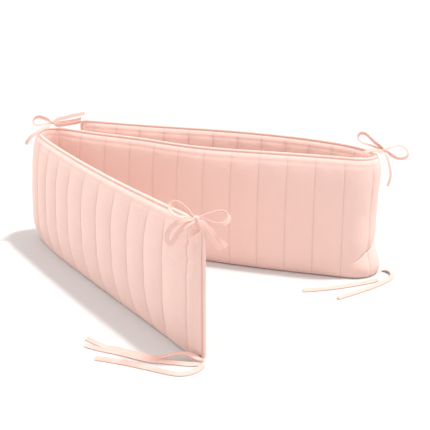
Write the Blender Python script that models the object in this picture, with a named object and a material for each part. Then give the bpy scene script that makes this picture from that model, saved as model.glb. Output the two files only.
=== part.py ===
"""Crib bumper: a quilted cloth band that stands on its long edge, folded in a zigzag.

The band runs from end A to fold B, back to fold C and on to end D. It is one filled pad with
vertical stitched channels, a corded edge all round, and cloth tape ties at the ends and folds.
Metres, +Z up. The origin is on the floor at the middle of the pad's bounding box.
"""
import math
from collections import namedtuple

import bmesh
import bpy
from mathutils import Matrix, Vector

# ---------------------------------------------------------------------------------------------
# Driving dimensions
# ---------------------------------------------------------------------------------------------
HALF_THICKNESS = 0.0215      # from the middle of the pad to the crown of a channel
SEAM_HALF_THICKNESS = 0.0172  # the same where the channels are stitched through
PIPING_RADIUS = 0.003
TAPE_WIDTH = 0.0085
TAPE_THICKNESS = 0.0018
GAP = 0.0006                 # left between the pad and the corded edge

# Moves the layout below so that the origin is at the middle of the bounding box.
LAYOUT_SHIFT = (0.0020, 0.0077, 0.0)

# How the band stands, seen from above. The rows are the control points of a smooth curve that
# the middle of the pad follows. lean moves the top edge sideways, to the left of the way that
# the band runs.
Station = namedtuple("Station", "place x y height lean")
STATIONS = (
    Station("end A", 0.0152, -0.3920, 0.250, 0.000),
    Station("front panel", -0.0437, -0.2900, 0.247, 0.003),
    Station("front panel", -0.1425, -0.1380, 0.245, 0.005),
    Station("front panel", -0.2495, 0.0310, 0.246, 0.002),
    Station("front panel", -0.3335, 0.1640, 0.249, -0.004),
    Station("fold B", -0.3785, 0.2395, 0.252, -0.008),
    Station("fold B", -0.3710, 0.2900, 0.253, -0.003),
    Station("fold B", -0.3190, 0.2960, 0.253, 0.000),
    Station("middle panel", -0.2575, 0.2520, 0.251, 0.000),
    Station("middle panel", -0.1255, 0.1950, 0.251, 0.002),
    Station("middle panel", -0.0185, 0.1100, 0.251, 0.003),
    Station("middle panel", 0.1455, 0.0480, 0.256, 0.004),
    Station("middle panel", 0.2805, 0.0070, 0.257, 0.003),
    Station("fold C", 0.3465, -0.0080, 0.256, -0.005),
    Station("fold C", 0.3690, 0.0390, 0.255, -0.008),
    Station("fold C", 0.3460, 0.0830, 0.256, -0.004),
    Station("back panel", 0.3085, 0.1240, 0.257, 0.000),
    Station("back panel", 0.2095, 0.1940, 0.256, 0.000),
    Station("back panel", 0.0535, 0.2620, 0.256, 0.002),
    Station("back panel", -0.1125, 0.3010, 0.256, 0.000),
    Station("end D", -0.2855, 0.3770, 0.253, 0.000),
)

# The stitched seams, panel by panel: where the first one lies along the band, how far apart they
# are, and how far the cloth has crept along between the first and the last: as a whole, towards
# the last ones, and at both ends.
Panel = namedtuple("Panel", "place first pitch seams drift skew ripple")
PANELS = (
    Panel("front panel", 0.043, 0.0654, 11, 0.019, 0.006, 0.006),
    Panel("fold B", 0.761, 0.0650, 2, 0.0, 0.0, 0.0),
    Panel("middle panel", 0.890, 0.0630, 11, 0.012, 0.0, 0.0),
    Panel("fold C", 1.568, 0.0490, 2, 0.0, 0.0, 0.0),
    Panel("back panel", 1.665, 0.0593, 12, -0.006, 0.0, 0.0),
)

# The upright outline of the pad's side, from the foot to the seat of the corded edge. Depth is
# the distance from the middle of the pad, as a share of the half thickness there.
Level = namedtuple("Level", "place rise depth puffs")
LEVELS = (
    Level("inner edge of the foot", 0.000, 0.230, 0.0),
    Level("outer edge of the foot", 0.000, 0.520, 0.2),
    Level("turn of the foot", 0.040, 0.780, 0.8),
    Level("lower bulge", 0.125, 0.940, 1.0),
    Level("low crease", 0.240, 1.000, 1.0),
    Level("fullest", 0.420, 1.000, 1.0),
    Level("upper side", 0.610, 0.950, 1.0),
    Level("shoulder", 0.780, 0.830, 1.0),
    Level("rolled shoulder", 0.895, 0.640, 0.8),
    Level("beside the edge seam", 0.962, 0.400, 0.3),
    Level("seat of the corded edge", 0.980, 0.160, 0.0),
)
VALLEY_HALF_WIDTH = 0.0034   # groove under the foot for the corded edge
VALLEY_HEIGHT = 0.0080
PIPING_LOW = 0.0037          # height of the corded edge's middle under the pad

# How the pad thins towards its two sewn ends
END_THICKNESS_SHARE = 0.17
END_TAPER = 0.022
CORNER_RADIUS = 0.009
FOLD_SQUASH = 0.030          # thins the pad on the inside of a fold, for each radian a metre
VALLEY_FULL_SHARE = 0.45     # of the full thickness, where the groove has its full width
FOOT_LIP = 0.0008            # least width of the foot beside the groove, and how much it grows
FOOT_LIP_GROWTH = 0.0020
CORNER_FOOT_ROUND = 0.004
CORNER_TOP_ROUND = 0.006
CORNER_CLEAR_LENGTH = 0.020  # the corded edge's even stretches start this far from an end
FOOT_START = 0.019           # the foot reaches the floor this far from an end

# The pinch low on the outside of fold C, which runs down onto the middle panel
Crease = namedtuple("Crease", "from_along from_height to_along to_height depth width")
FOLD_C_CREASE = Crease(1.590, 0.067, 1.530, 0.030, 0.0070, 0.014)

# How a fold stands round one place along the band: its waist goes to the left of travel and its
# foot to the right
Stance = namedtuple("Stance", "place along reach waist kick")
STANCES = (
    Stance("fold B", 0.745, 0.100, 0.0000, 0.0080),
    Stance("fold C", 1.600, 0.065, 0.0095, 0.0100),
)
FOOT_SHARE = 0.045           # the foot moves as one up to this share of the height
FOOT_FADE = 0.090

# The front panel's cloth has crept towards end A along its top and its foot, which bows the seams
Creep = namedtuple("Creep", "start full fading gone top top_share foot foot_share")
FRONT_CREEP = Creep(0.043, 0.120, 0.600, 0.740, 0.024, 0.60, 0.030, 0.32)

CREASE_FADE = 0.75           # how much of its depth the pinch has lost where it runs out

CURVE_SAMPLES_PER_SPAN = 60
HEADING_REACH = 0.004        # stretches of the middle line that a direction and a bend average
BEND_REACH = 0.012
FOLD_BEND = 6.0              # radians a metre, from which a channel counts as part of a fold
PUFF_POWER = 0.55            # the lower, the flatter the channels and the sharper the seams
CHANNEL_STEPS = (0.0, 0.14, 0.50, 0.86)
FOLD_STEPS = (0.0, 0.13, 0.33, 0.50, 0.67, 0.87)
END_STEPS = (0.0, 0.04, 0.10, 0.20, 0.45, 0.75)
CORNER_STEPS = 4             # stops of the corded edge round each corner, and down each end
END_RUN_SHARES = (0.0, 0.33, 0.67, 1.0)

# ---------------------------------------------------------------------------------------------
# The tapes. Each row of a route is x, y, z of the middle of the tape. across is the direction of
# the tape's width where it starts, and LOOP means square to the loop's own plane. twist is how
# far the tape has turned about its own line by its end, in degrees.
# ---------------------------------------------------------------------------------------------
Tape = namedtuple("Tape", "name across twist route")
Knot = namedtuple("Knot", "name x y z half_length half_depth half_height")
LOOP = None

KNOTS = (
    Knot("knot_a", 0.0050, -0.3895, 0.2570, 0.0062, 0.0046, 0.0044),
    Knot("knot_b", -0.3380, 0.2580, 0.2740, 0.0060, 0.0050, 0.0048),
    Knot("knot_c", 0.3850, 0.0380, 0.2640, 0.0058, 0.0048, 0.0046),
)

TAPES = (
    Tape("bow_a_left_loop", LOOP, 12.0, (
        (-0.0035, -0.3870, 0.2620), (-0.012, -0.381, 0.269), (-0.021, -0.375, 0.2755),
        (-0.030, -0.370, 0.278), (-0.0375, -0.371, 0.2745), (-0.039, -0.378, 0.268),
        (-0.033, -0.385, 0.263), (-0.024, -0.389, 0.2600), (-0.014, -0.391, 0.2590),
        (-0.0035, -0.3910, 0.2582))),
    Tape("bow_a_right_loop", LOOP, 10.0, (
        (0.0135, -0.3870, 0.2605), (0.023, -0.380, 0.262), (0.034, -0.374, 0.264),
        (0.045, -0.370, 0.264), (0.054, -0.372, 0.2615), (0.0585, -0.379, 0.257),
        (0.0565, -0.387, 0.2515), (0.049, -0.393, 0.248), (0.039, -0.395, 0.2475),
        (0.030, -0.395, 0.2495), (0.0215, -0.394, 0.2530), (0.0135, -0.3920, 0.2565))),
    Tape("bow_a_low_loop", (0.1, 0.6, 0.8), -65.0, (
        (-0.0035, -0.3955, 0.2575), (-0.013, -0.4010, 0.2590), (-0.025, -0.4030, 0.255),
        (-0.036, -0.3980, 0.245), (-0.043, -0.3900, 0.231), (-0.0445, -0.3850, 0.217),
        (-0.039, -0.3870, 0.2120), (-0.0325, -0.3930, 0.220), (-0.027, -0.3985, 0.232),
        (-0.019, -0.4020, 0.2430), (-0.0080, -0.4000, 0.2510))),
    Tape("bow_a_front_tail", (0.8, 0.1, 0.6), 20.0, (
        (0.0105, -0.3985, 0.2535), (0.016, -0.4020, 0.246), (0.024, -0.4020, 0.233),
        (0.033, -0.4000, 0.2205), (0.0450, -0.3970, 0.2035))),
    Tape("bow_a_back_tail", (0.9, 0.1, 0.5), 0.0, (
        (0.0150, -0.3965, 0.2530), (0.0220, -0.3985, 0.2450), (0.031, -0.3975, 0.2345),
        (0.042, -0.3930, 0.2200), (0.055, -0.3880, 0.2055))),
    Tape("bow_b_loop", LOOP, 8.0, (
        (-0.3455, 0.2610, 0.2775), (-0.356, 0.258, 0.2835), (-0.366, 0.251, 0.288),
        (-0.373, 0.243, 0.287), (-0.3765, 0.237, 0.281), (-0.374, 0.236, 0.2745),
        (-0.366, 0.241, 0.2715), (-0.356, 0.249, 0.2715), (-0.3460, 0.255, 0.2725))),
    Tape("bow_b_strap", (0.0, 0.8, 0.6), -25.0, (
        (-0.3440, 0.2490, 0.2680), (-0.354, 0.237, 0.2640), (-0.3680, 0.2260, 0.2570),
        (-0.3860, 0.2180, 0.2460), (-0.3985, 0.2150, 0.2300))),
    Tape("bow_b_back_tail", (0.0, 0.2, 1.0), 0.0, (
        (-0.3310, 0.2680, 0.2765), (-0.3235, 0.2850, 0.2765), (-0.3135, 0.3080, 0.2740),
        (-0.3020, 0.3330, 0.2730), (-0.2910, 0.3560, 0.2710), (-0.2800, 0.3790, 0.2690))),
    Tape("bow_b_middle_tail", (0.1, 0.3, 1.0), 10.0, (
        (-0.3290, 0.2640, 0.2710), (-0.3190, 0.2860, 0.2685), (-0.3070, 0.3120, 0.2650),
        (-0.2960, 0.3370, 0.2625), (-0.2865, 0.3600, 0.2610))),
    Tape("bow_b_front_tail", (0.1, 0.4, 0.9), 12.0, (
        (-0.3290, 0.2570, 0.2670), (-0.3190, 0.2740, 0.2620), (-0.3070, 0.2970, 0.2580),
        (-0.2950, 0.3200, 0.2550), (-0.2840, 0.3420, 0.2530))),
    Tape("bow_c_left_loop", LOOP, 10.0, (
        (0.3785, 0.0370, 0.2705), (0.366, 0.037, 0.279), (0.356, 0.040, 0.288),
        (0.347, 0.045, 0.2955), (0.339, 0.048, 0.2975), (0.332, 0.047, 0.294),
        (0.3305, 0.043, 0.287), (0.336, 0.039, 0.281), (0.345, 0.038, 0.277),
        (0.356, 0.038, 0.2735), (0.3775, 0.0375, 0.2670))),
    Tape("bow_c_strap", (0.2, 0.6, 0.7), 30.0, (
        (0.3780, 0.0300, 0.2610), (0.367, 0.0240, 0.2670), (0.356, 0.0200, 0.2685),
        (0.346, 0.0165, 0.2660), (0.3395, 0.0145, 0.2620))),
    Tape("bow_c_right_loop", LOOP, 10.0, (
        (0.3925, 0.041, 0.2665), (0.401, 0.045, 0.2685), (0.412, 0.049, 0.270),
        (0.423, 0.050, 0.2695), (0.432, 0.046, 0.264), (0.435, 0.040, 0.256),
        (0.430, 0.034, 0.2495), (0.418, 0.030, 0.2475), (0.406, 0.030, 0.2505),
        (0.398, 0.033, 0.2555), (0.3920, 0.0355, 0.2605))),
    Tape("bow_c_tail", (0.4, 0.9, 0.1), 40.0, (
        (0.3870, 0.0320, 0.2580), (0.390, 0.026, 0.250), (0.394, 0.024, 0.237),
        (0.398, 0.024, 0.220), (0.398, 0.025, 0.206), (0.394, 0.026, 0.190))),
    Tape("bottom_tie_a_arched", (0.1, 1.0, 0.1), 0.0, (
        (0.0145, -0.4020, 0.0065), (0.0060, -0.4010, 0.0095), (-0.0040, -0.3960, 0.0125),
        (-0.0140, -0.3900, 0.0125), (-0.025, -0.3870, 0.0115), (-0.037, -0.3870, 0.0100),
        (-0.050, -0.3880, 0.0070), (-0.066, -0.3860, 0.0034), (-0.083, -0.3790, 0.0014),
        (-0.100, -0.3710, 0.0014), (-0.118, -0.3605, 0.0014), (-0.137, -0.3510, 0.0014),
        (-0.157, -0.3420, 0.0014), (-0.176, -0.3280, 0.0014), (-0.197, -0.3080, 0.0014))),
    Tape("bottom_tie_a_flat", (0.5, 0.9, 0.0), 0.0, (
        (0.0125, -0.4070, 0.0018), (0.0030, -0.4090, 0.0014), (-0.010, -0.4090, 0.0014),
        (-0.028, -0.4055, 0.0014), (-0.049, -0.4010, 0.0014), (-0.072, -0.3970, 0.0014),
        (-0.094, -0.3880, 0.0014), (-0.117, -0.3755, 0.0014), (-0.139, -0.3645, 0.0014),
        (-0.159, -0.3560, 0.0014), (-0.177, -0.3470, 0.0014), (-0.196, -0.3350, 0.0014))),
    Tape("bottom_tie_a_front", (0.8, 0.6, 0.0), 0.0, (
        (0.0165, -0.4120, 0.0016), (0.0110, -0.4220, 0.0014), (0.0030, -0.4330, 0.0014),
        (-0.0100, -0.4420, 0.0014), (-0.0300, -0.4440, 0.0014), (-0.0550, -0.4345, 0.0014),
        (-0.080, -0.4220, 0.0014), (-0.105, -0.4110, 0.0014), (-0.131, -0.4005, 0.0014),
        (-0.157, -0.3915, 0.0014), (-0.172, -0.3870, 0.0014))),
    Tape("bottom_tie_c_long", (0.5, 0.9, 0.0), 0.0, (
        (0.3920, 0.0240, 0.0016), (0.4010, 0.0200, 0.0014), (0.4075, 0.0100, 0.0014),
        (0.4080, -0.0040, 0.0014), (0.4030, -0.0180, 0.0014), (0.3940, -0.0320, 0.0014),
        (0.3780, -0.0490, 0.0014), (0.352, -0.072, 0.0014), (0.319, -0.097, 0.0014),
        (0.297, -0.113, 0.0014), (0.279, -0.126, 0.0014))),
    Tape("bottom_tie_c_short", (0.5, 0.9, 0.0), 0.0, (
        (0.3750, -0.0290, 0.0016), (0.3600, -0.0390, 0.0014), (0.338, -0.049, 0.0014),
        (0.310, -0.061, 0.0014), (0.286, -0.070, 0.0014), (0.262, -0.077, 0.0014),
        (0.236, -0.083, 0.0014), (0.213, -0.087, 0.0014))),
)
PINCH_LENGTH = 0.012         # a tape is gathered this far where it is sewn or knotted
PINCH_SHARE = 0.42
TAPE_STEP = 0.0085

# ---------------------------------------------------------------------------------------------
# Finishes: colour, roughness
# ---------------------------------------------------------------------------------------------
Finish = namedtuple("Finish", "name red green blue roughness")
PAD_COTTON = Finish("pad_cotton", 0.86, 0.60, 0.52, 0.92)
PIPING_COTTON = Finish("piping_cotton", 0.90, 0.68, 0.60, 0.90)
TAPE_COTTON = Finish("tape_cotton", 0.89, 0.63, 0.55, 0.90)


def clear_scene():
    """Remove every object that the file opened with."""
    for obj in list(bpy.data.objects):
        bpy.data.objects.remove(obj, do_unlink=True)


def cloth(finish):
    """A matte cotton material."""
    material = bpy.data.materials.new(finish.name)
    material.use_nodes = True
    shader = material.node_tree.nodes["Principled BSDF"]
    shader.inputs["Base Color"].default_value = (finish.red, finish.green, finish.blue, 1.0)
    shader.inputs["Roughness"].default_value = finish.roughness
    shader.inputs["Metallic"].default_value = 0.0
    return material


# ---------------------------------------------------------------------------------------------
# The standing curve of the band
# ---------------------------------------------------------------------------------------------
def spline_weights(share):
    """Weights of four neighbouring control points of a uniform cubic B-spline."""
    rest = 1.0 - share
    return (rest ** 3 / 6.0,
            (3.0 * share ** 3 - 6.0 * share ** 2 + 4.0) / 6.0,
            (-3.0 * share ** 3 + 3.0 * share ** 2 + 3.0 * share + 1.0) / 6.0,
            share ** 3 / 6.0)


def spline_rows(rows, samples_per_span):
    """Sample a cubic B-spline through rows of numbers, starting and ending on the end rows."""
    first = [2.0 * a - b for a, b in zip(rows[0], rows[1])]
    last = [2.0 * a - b for a, b in zip(rows[-1], rows[-2])]
    padded = [first] + [list(row) for row in rows] + [last]
    samples = []
    for span in range(len(rows) - 1):
        for step in range(samples_per_span):
            weights = spline_weights(step / samples_per_span)
            corners = padded[span:span + 4]
            samples.append([sum(w * c[i] for w, c in zip(weights, corners))
                            for i in range(len(rows[0]))])
    samples.append(list(rows[-1]))
    return samples


class Track:
    """Rows of numbers along a path, read by the distance travelled along it."""

    def __init__(self, samples, axes):
        self.samples = samples
        self.axes = axes
        self.reach = [0.0]
        for before, after in zip(samples, samples[1:]):
            step = math.sqrt(sum((after[i] - before[i]) ** 2 for i in range(axes)))
            self.reach.append(self.reach[-1] + step)
        self.length = self.reach[-1]

    def at(self, along):
        """The row at a distance along the path, carried on straight past either end."""
        low = 0
        high = len(self.reach) - 1
        while high - low > 1:
            middle = (low + high) // 2
            if self.reach[middle] <= along:
                low = middle
            else:
                high = middle
        share = (along - self.reach[low]) / (self.reach[high] - self.reach[low])
        return [a + (b - a) * share for a, b in zip(self.samples[low], self.samples[high])]

    def heading(self, along, reach=HEADING_REACH):
        """Unit direction of travel, averaged over a short stretch."""
        before = self.at(along - reach)
        after = self.at(along + reach)
        step = Vector([after[i] - before[i] for i in range(self.axes)])
        return step.normalized()


def band_track():
    """The band's middle line with its height and lean."""
    rows = [(s.x, s.y, s.height, s.lean) for s in STATIONS]
    return Track(spline_rows(rows, CURVE_SAMPLES_PER_SPAN), 2)


def seam_stations():
    """Distances along the band of every stitched seam."""
    stations = []
    for panel in PANELS:
        for index in range(panel.seams):
            turn = math.pi * index / (panel.seams - 1)
            push = (panel.drift * math.sin(turn) - panel.skew * math.sin(2.0 * turn)
                    + panel.ripple * math.sin(3.0 * turn))
            stations.append(panel.first + panel.pitch * index + push)
    return stations


def slant_at(track, along, rise):
    """How far the band leans to the left of travel at a place on it."""
    height, lean = track.at(along)[2:]
    share = rise / height
    above_foot = max(0.0, share - FOOT_SHARE) / FOOT_FADE
    slant = lean * share ** 1.5
    for stance in STANCES:
        near = math.exp(-((along - stance.along) / stance.reach) ** 2)
        slant += near * stance.waist * math.sin(math.pi * share) ** 2
        slant -= near * stance.kick * math.exp(-above_foot ** 2)
    return slant


def on_band(track, along, rise, out):
    """A point at a distance to the left of the band's middle surface."""
    x, y = track.at(along)[:2]
    ahead = track.heading(min(max(along, 0.0), track.length))
    outward = Vector((-ahead.y, ahead.x, 0.0))
    return Vector((x, y, rise)) + outward * (out + slant_at(track, along, rise)), outward


def eased(share):
    """0 up to 0, 1 from 1 on, smooth between them."""
    share = max(0.0, min(1.0, share))
    return share * share * (3.0 - 2.0 * share)


def crept(along, share):
    """Where the cloth of a seam really lies along the band, at a share of the height."""
    creep = FRONT_CREEP
    amount = (creep.top * max(0.0, (share - creep.top_share) / (1.0 - creep.top_share)) ** 1.5
              + creep.foot * max(0.0, 1.0 - share / creep.foot_share) ** 1.5)
    weight = (eased((along - creep.start) / (creep.full - creep.start))
              * eased((creep.gone - along) / (creep.gone - creep.fading)))
    return along - amount * weight


def bend_rate(track, along):
    """Turn of the middle line, in radians a metre, positive to the left."""
    before = track.heading(along - BEND_REACH)
    after = track.heading(along + BEND_REACH)
    cross = before.x * after.y - before.y * after.x
    return math.asin(max(-1.0, min(1.0, cross))) / (2.0 * BEND_REACH)


# ---------------------------------------------------------------------------------------------
# The pad
# ---------------------------------------------------------------------------------------------
Column = namedtuple("Column", "along puff piped")


def pad_columns(track, seams):
    """The mesh's upright columns: distance along the band, puff from 0 to 1, and if piping bends there."""
    borders = [0.0] + seams + [track.length]
    columns = []
    last = len(borders) - 2
    for index, (start, end) in enumerate(zip(borders, borders[1:])):
        turning = max(abs(bend_rate(track, start)), abs(bend_rate(track, end))) > FOLD_BEND
        steps = FOLD_STEPS if turning else CHANNEL_STEPS
        if index == 0:
            steps = END_STEPS
        elif index == last:
            steps = (0.0,) + tuple(1.0 - step for step in END_STEPS[:0:-1])
        for share in steps:
            puff = math.sin(math.pi * share) ** PUFF_POWER
            columns.append(Column(start + (end - start) * share, puff, turning or share in (0.0, 0.5)))
    columns.append(Column(track.length, 0.0, False))
    return columns


def end_share(from_end):
    """Share of the full thickness at a distance from a sewn end."""
    return END_THICKNESS_SHARE + (1.0 - END_THICKNESS_SHARE) * (1.0 - math.exp(-from_end / END_TAPER))


def corner_drop(from_end):
    """How far the rounded corner has pulled the edge in, at a distance from a sewn end."""
    if from_end >= CORNER_RADIUS:
        return 0.0
    inset = CORNER_RADIUS - from_end
    return CORNER_RADIUS - math.sqrt(CORNER_RADIUS ** 2 - inset ** 2)


def edge_limits(height, from_end):
    """Lowest and highest points that the pad may reach, clear of the corded edge at a corner."""
    clear = PIPING_RADIUS + GAP
    drop = corner_drop(from_end)
    ceiling = LEVELS[-1].rise * height - drop
    if from_end < CORNER_RADIUS:
        return PIPING_LOW + clear + drop, ceiling
    fade = max(0.0, (FOOT_START - from_end) / (FOOT_START - CORNER_RADIUS))
    return (PIPING_LOW + clear) * fade, ceiling


def crease_depth(crease, along, height):
    """Depth of a crease at a place on the outer face."""
    run = Vector((crease.to_along - crease.from_along, crease.to_height - crease.from_height))
    here = Vector((along - crease.from_along, height - crease.from_height))
    share = max(0.0, min(1.0, here.dot(run) / run.length_squared))
    away = (here - run * share).length
    fade = 1.0 - CREASE_FADE * share
    return crease.depth * fade * math.exp(-(away / crease.width) ** 2)


def pad_depth(level, side, puff, end, bend):
    """Distance from the pad's middle surface to its side at one level."""
    thin = SEAM_HALF_THICKNESS / HALF_THICKNESS
    puffed = 1.0 - level.puffs * (1.0 - thin) * (1.0 - puff)
    depth = HALF_THICKNESS * level.depth * puffed * end
    if level.rise > 0.0:
        # The inside of a fold is squashed, the outside stays full
        return depth / (1.0 + FOLD_SQUASH * max(0.0, side * bend))
    return max(depth, valley_wall(end) + FOOT_LIP + FOOT_LIP_GROWTH * level.depth)


def valley_wall(end):
    """Half width of the groove under the foot."""
    return VALLEY_HALF_WIDTH * min(1.0, end / VALLEY_FULL_SHARE)


def pad_point(track, along, puff, side, level):
    """One point of the pad's side."""
    here = crept(along, level.rise)
    height = track.at(here)[2]
    from_end = max(0.0, min(here, track.length - here))
    floor, ceiling = edge_limits(height, from_end)
    depth = pad_depth(level, side, puff, end_share(from_end), bend_rate(track, here))
    rise = level.rise * height
    if side < 0.0 and 0.0 < level.rise < 0.6:
        depth -= crease_depth(FOLD_C_CREASE, here, rise)
    # The outline stays rounded where a corner pulls it in
    rounding = CORNER_FOOT_ROUND * level.depth if from_end < CORNER_RADIUS else 0.0
    rise = max(rise, floor + rounding)
    rise = min(rise, ceiling - CORNER_TOP_ROUND * (level.depth - LEVELS[-1].depth))
    return on_band(track, here, rise, side * depth)[0]


def pad_ring(track, along, puff):
    """One closed ring of points round the pad, from foot to top and back, left face first."""
    foot = crept(along, 0.0)
    from_end = max(0.0, min(foot, track.length - foot))
    floor = edge_limits(track.at(foot)[2], from_end)[0]
    wall = valley_wall(end_share(from_end))
    ring = []
    for side in (1.0, -1.0):
        points = [on_band(track, foot, max(VALLEY_HEIGHT, floor), side * wall)[0]]
        points += [pad_point(track, along, puff, side, level) for level in LEVELS]
        ring.append(points)
    return ring[0] + ring[1][::-1]


def build_pad(track):
    """The filled pad as one closed body of upright rings."""
    mesh = bmesh.new()
    rings = []
    for column in pad_columns(track, seam_stations()):
        points = pad_ring(track, column.along, column.puff)
        rings.append([mesh.verts.new(point) for point in points])
    count = len(rings[0])
    for before, after in zip(rings, rings[1:]):
        for index in range(count):
            following = (index + 1) % count
            mesh.faces.new((before[index], after[index], after[following], before[following]))
    for ring, turn in ((rings[0], False), (rings[-1], True)):
        for index in range(count // 2 - 1):
            far = count - 1 - index
            corners = (ring[index], ring[index + 1], ring[far - 1], ring[far])
            mesh.faces.new(corners[::-1] if turn else corners)
    return finish_object(mesh, "pad", PAD_COTTON)


# ---------------------------------------------------------------------------------------------
# Swept pieces
# ---------------------------------------------------------------------------------------------
def finish_object(mesh, name, finish):
    """Turn a bmesh into a named, smooth-shaded object with its material."""
    bmesh.ops.triangulate(mesh, faces=list(mesh.faces))
    bmesh.ops.recalc_face_normals(mesh, faces=list(mesh.faces))
    bmesh.ops.translate(mesh, vec=LAYOUT_SHIFT, verts=list(mesh.verts))
    data = bpy.data.meshes.new(name)
    mesh.to_mesh(data)
    mesh.free()
    data.materials.append(cloth(finish))
    data.shade_smooth()
    data.set_sharp_from_angle(angle=math.radians(50.0))
    obj = bpy.data.objects.new(name, data)
    bpy.context.scene.collection.objects.link(obj)
    return obj


def sweep(name, finish, rings, closed):
    """A closed body from rings of points; the ends are capped unless it runs round."""
    mesh = bmesh.new()
    loops = [[mesh.verts.new(point) for point in ring] for ring in rings]
    count = len(loops[0])
    pairs = list(zip(loops, loops[1:]))
    if closed:
        pairs.append((loops[-1], loops[0]))
    for before, after in pairs:
        for index in range(count):
            following = (index + 1) % count
            mesh.faces.new((before[index], after[index], after[following], before[following]))
    if not closed:
        mesh.faces.new(loops[0])
        mesh.faces.new(loops[-1][::-1])
    return finish_object(mesh, name, finish)


def piping_path(track):
    """The corded edge's middle line, each point with the pad's sideways direction there.

    It runs along the top to end D, down that end, back underneath and up end A.
    """
    clear = PIPING_RADIUS + GAP
    low = PIPING_LOW
    bend = CORNER_RADIUS + clear
    turns = [math.radians(90.0 * (step + 0.5) / CORNER_STEPS) for step in range(CORNER_STEPS)]
    corner = [(math.sin(turn), 1.0 - math.cos(turn)) for turn in turns]
    inner = [column.along for column in pad_columns(track, seam_stations()) if column.piped
             and CORNER_CLEAR_LENGTH < column.along < track.length - CORNER_CLEAR_LENGTH]
    stops = [CORNER_RADIUS] + inner + [track.length - CORNER_RADIUS]

    def top_height(along):
        return track.at(along)[2] * LEVELS[-1].rise + clear

    points = [on_band(track, along, top_height(along), 0.0) for along in stops]
    for end, away, falling in ((track.length, 1.0, True), (0.0, -1.0, False)):
        top = top_height(end - away * CORNER_RADIUS)
        upper = [on_band(track, end - away * (CORNER_RADIUS - bend * run), top - bend * fall, 0.0)
                 for run, fall in corner]
        lower = [on_band(track, end - away * (CORNER_RADIUS - bend * run), low + bend * fall, 0.0)
                 for run, fall in corner]
        span = top - low - 2.0 * bend
        side = [on_band(track, end + away * clear, top - bend - span * share, 0.0)
                for share in END_RUN_SHARES]
        down = upper + side + lower[::-1]
        points += down if falling else down[::-1]
        if falling:
            points += [on_band(track, along, low, 0.0) for along in stops[::-1]]
    return points


def build_piping(track):
    """The corded edge as one closed cord of six sides."""
    path = piping_path(track)
    sides = 6
    rings = []
    for index, (point, across) in enumerate(path):
        ahead = (path[(index + 1) % len(path)][0] - path[index - 1][0]).normalized()
        across = (across - ahead * across.dot(ahead)).normalized()
        lift = across.cross(ahead).normalized()
        ring = []
        for corner in range(sides):
            angle = 2.0 * math.pi * (corner + 0.5) / sides
            ring.append(point + (across * math.cos(angle) + lift * math.sin(angle)) * PIPING_RADIUS)
        rings.append(ring)
    return sweep("piping", PIPING_COTTON, rings, True)


def loop_normal(route):
    """Unit direction square to the plane of a loop."""
    total = Vector((0.0, 0.0, 0.0))
    for before, after in zip(route, route[1:] + route[:1]):
        total += Vector(before).cross(Vector(after))
    return total.normalized()


def build_tape(tape):
    """One tie tape: a flat strip that follows its route, gathered where it is sewn or tied."""
    track = Track(spline_through(tape.route), 3)
    count = max(5, round(track.length / TAPE_STEP))
    looped = tape.across is LOOP
    across = loop_normal(tape.route) if looped else Vector(tape.across)
    rings = []
    for index in range(count + 1):
        share = index / count
        along = track.length * share
        ahead = track.heading(along, 0.002)
        across = (across - ahead * across.dot(ahead)).normalized()
        wide = Matrix.Rotation(math.radians(tape.twist * share), 3, ahead) @ across
        thick = ahead.cross(wide) * 0.5 * TAPE_THICKNESS
        from_tied = min(along, track.length - along) if looped else along
        gather = min(1.0, PINCH_SHARE + (1.0 - PINCH_SHARE) * from_tied / PINCH_LENGTH)
        half = wide * 0.5 * TAPE_WIDTH * gather
        middle = Vector(track.at(along))
        rings.append([middle + half + thick, middle - half + thick,
                      middle - half - thick, middle + half - thick])
    return sweep(tape.name, TAPE_COTTON, rings, False)


def spline_through(points, samples_per_span=12):
    """A smooth curve through every point (Catmull-Rom), as sampled rows."""
    first = [2.0 * a - b for a, b in zip(points[0], points[1])]
    last = [2.0 * a - b for a, b in zip(points[-1], points[-2])]
    padded = [first] + [list(point) for point in points] + [last]
    samples = []
    for span in range(len(points) - 1):
        p0, p1, p2, p3 = padded[span:span + 4]
        for step in range(samples_per_span):
            t = step / samples_per_span
            samples.append([0.5 * (2.0 * b + (c - a) * t + (2.0 * a - 5.0 * b + 4.0 * c - d) * t * t
                                   + (3.0 * b - a - 3.0 * c + d) * t ** 3)
                            for a, b, c, d in zip(p0, p1, p2, p3)])
    samples.append(list(points[-1]))
    return samples


def build_knot(knot):
    """The small wrapped lump of a tied bow."""
    mesh = bmesh.new()
    bmesh.ops.create_icosphere(mesh, subdivisions=2, radius=1.0)
    for vert in mesh.verts:
        waist = 1.0 - 0.12 * math.cos(3.0 * vert.co.x)
        vert.co = Vector((knot.x + vert.co.x * knot.half_length,
                          knot.y + vert.co.y * knot.half_depth * waist,
                          knot.z + vert.co.z * knot.half_height * waist))
    return finish_object(mesh, knot.name, TAPE_COTTON)


def main():
    clear_scene()
    track = band_track()
    build_pad(track)
    build_piping(track)
    for knot in KNOTS:
        build_knot(knot)
    for tape in TAPES:
        build_tape(tape)


main()
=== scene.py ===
"""Crib bumper: the looks of a quilted cloth band that stands in a zigzag fold.

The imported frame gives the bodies. This file dresses them: a padded band with stitched channels,
a corded edge all round, and narrow cloth ties, some of them tied in bows. Metres, +Z up.
"""

import logging
import math
from dataclasses import dataclass, field
from enum import Enum
from typing import Any, Dict, List, Mapping, NamedTuple, Optional, Sequence, Tuple, Union

import bmesh
import bpy
import numpy as np
from mathutils import Matrix, Vector, noise


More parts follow.
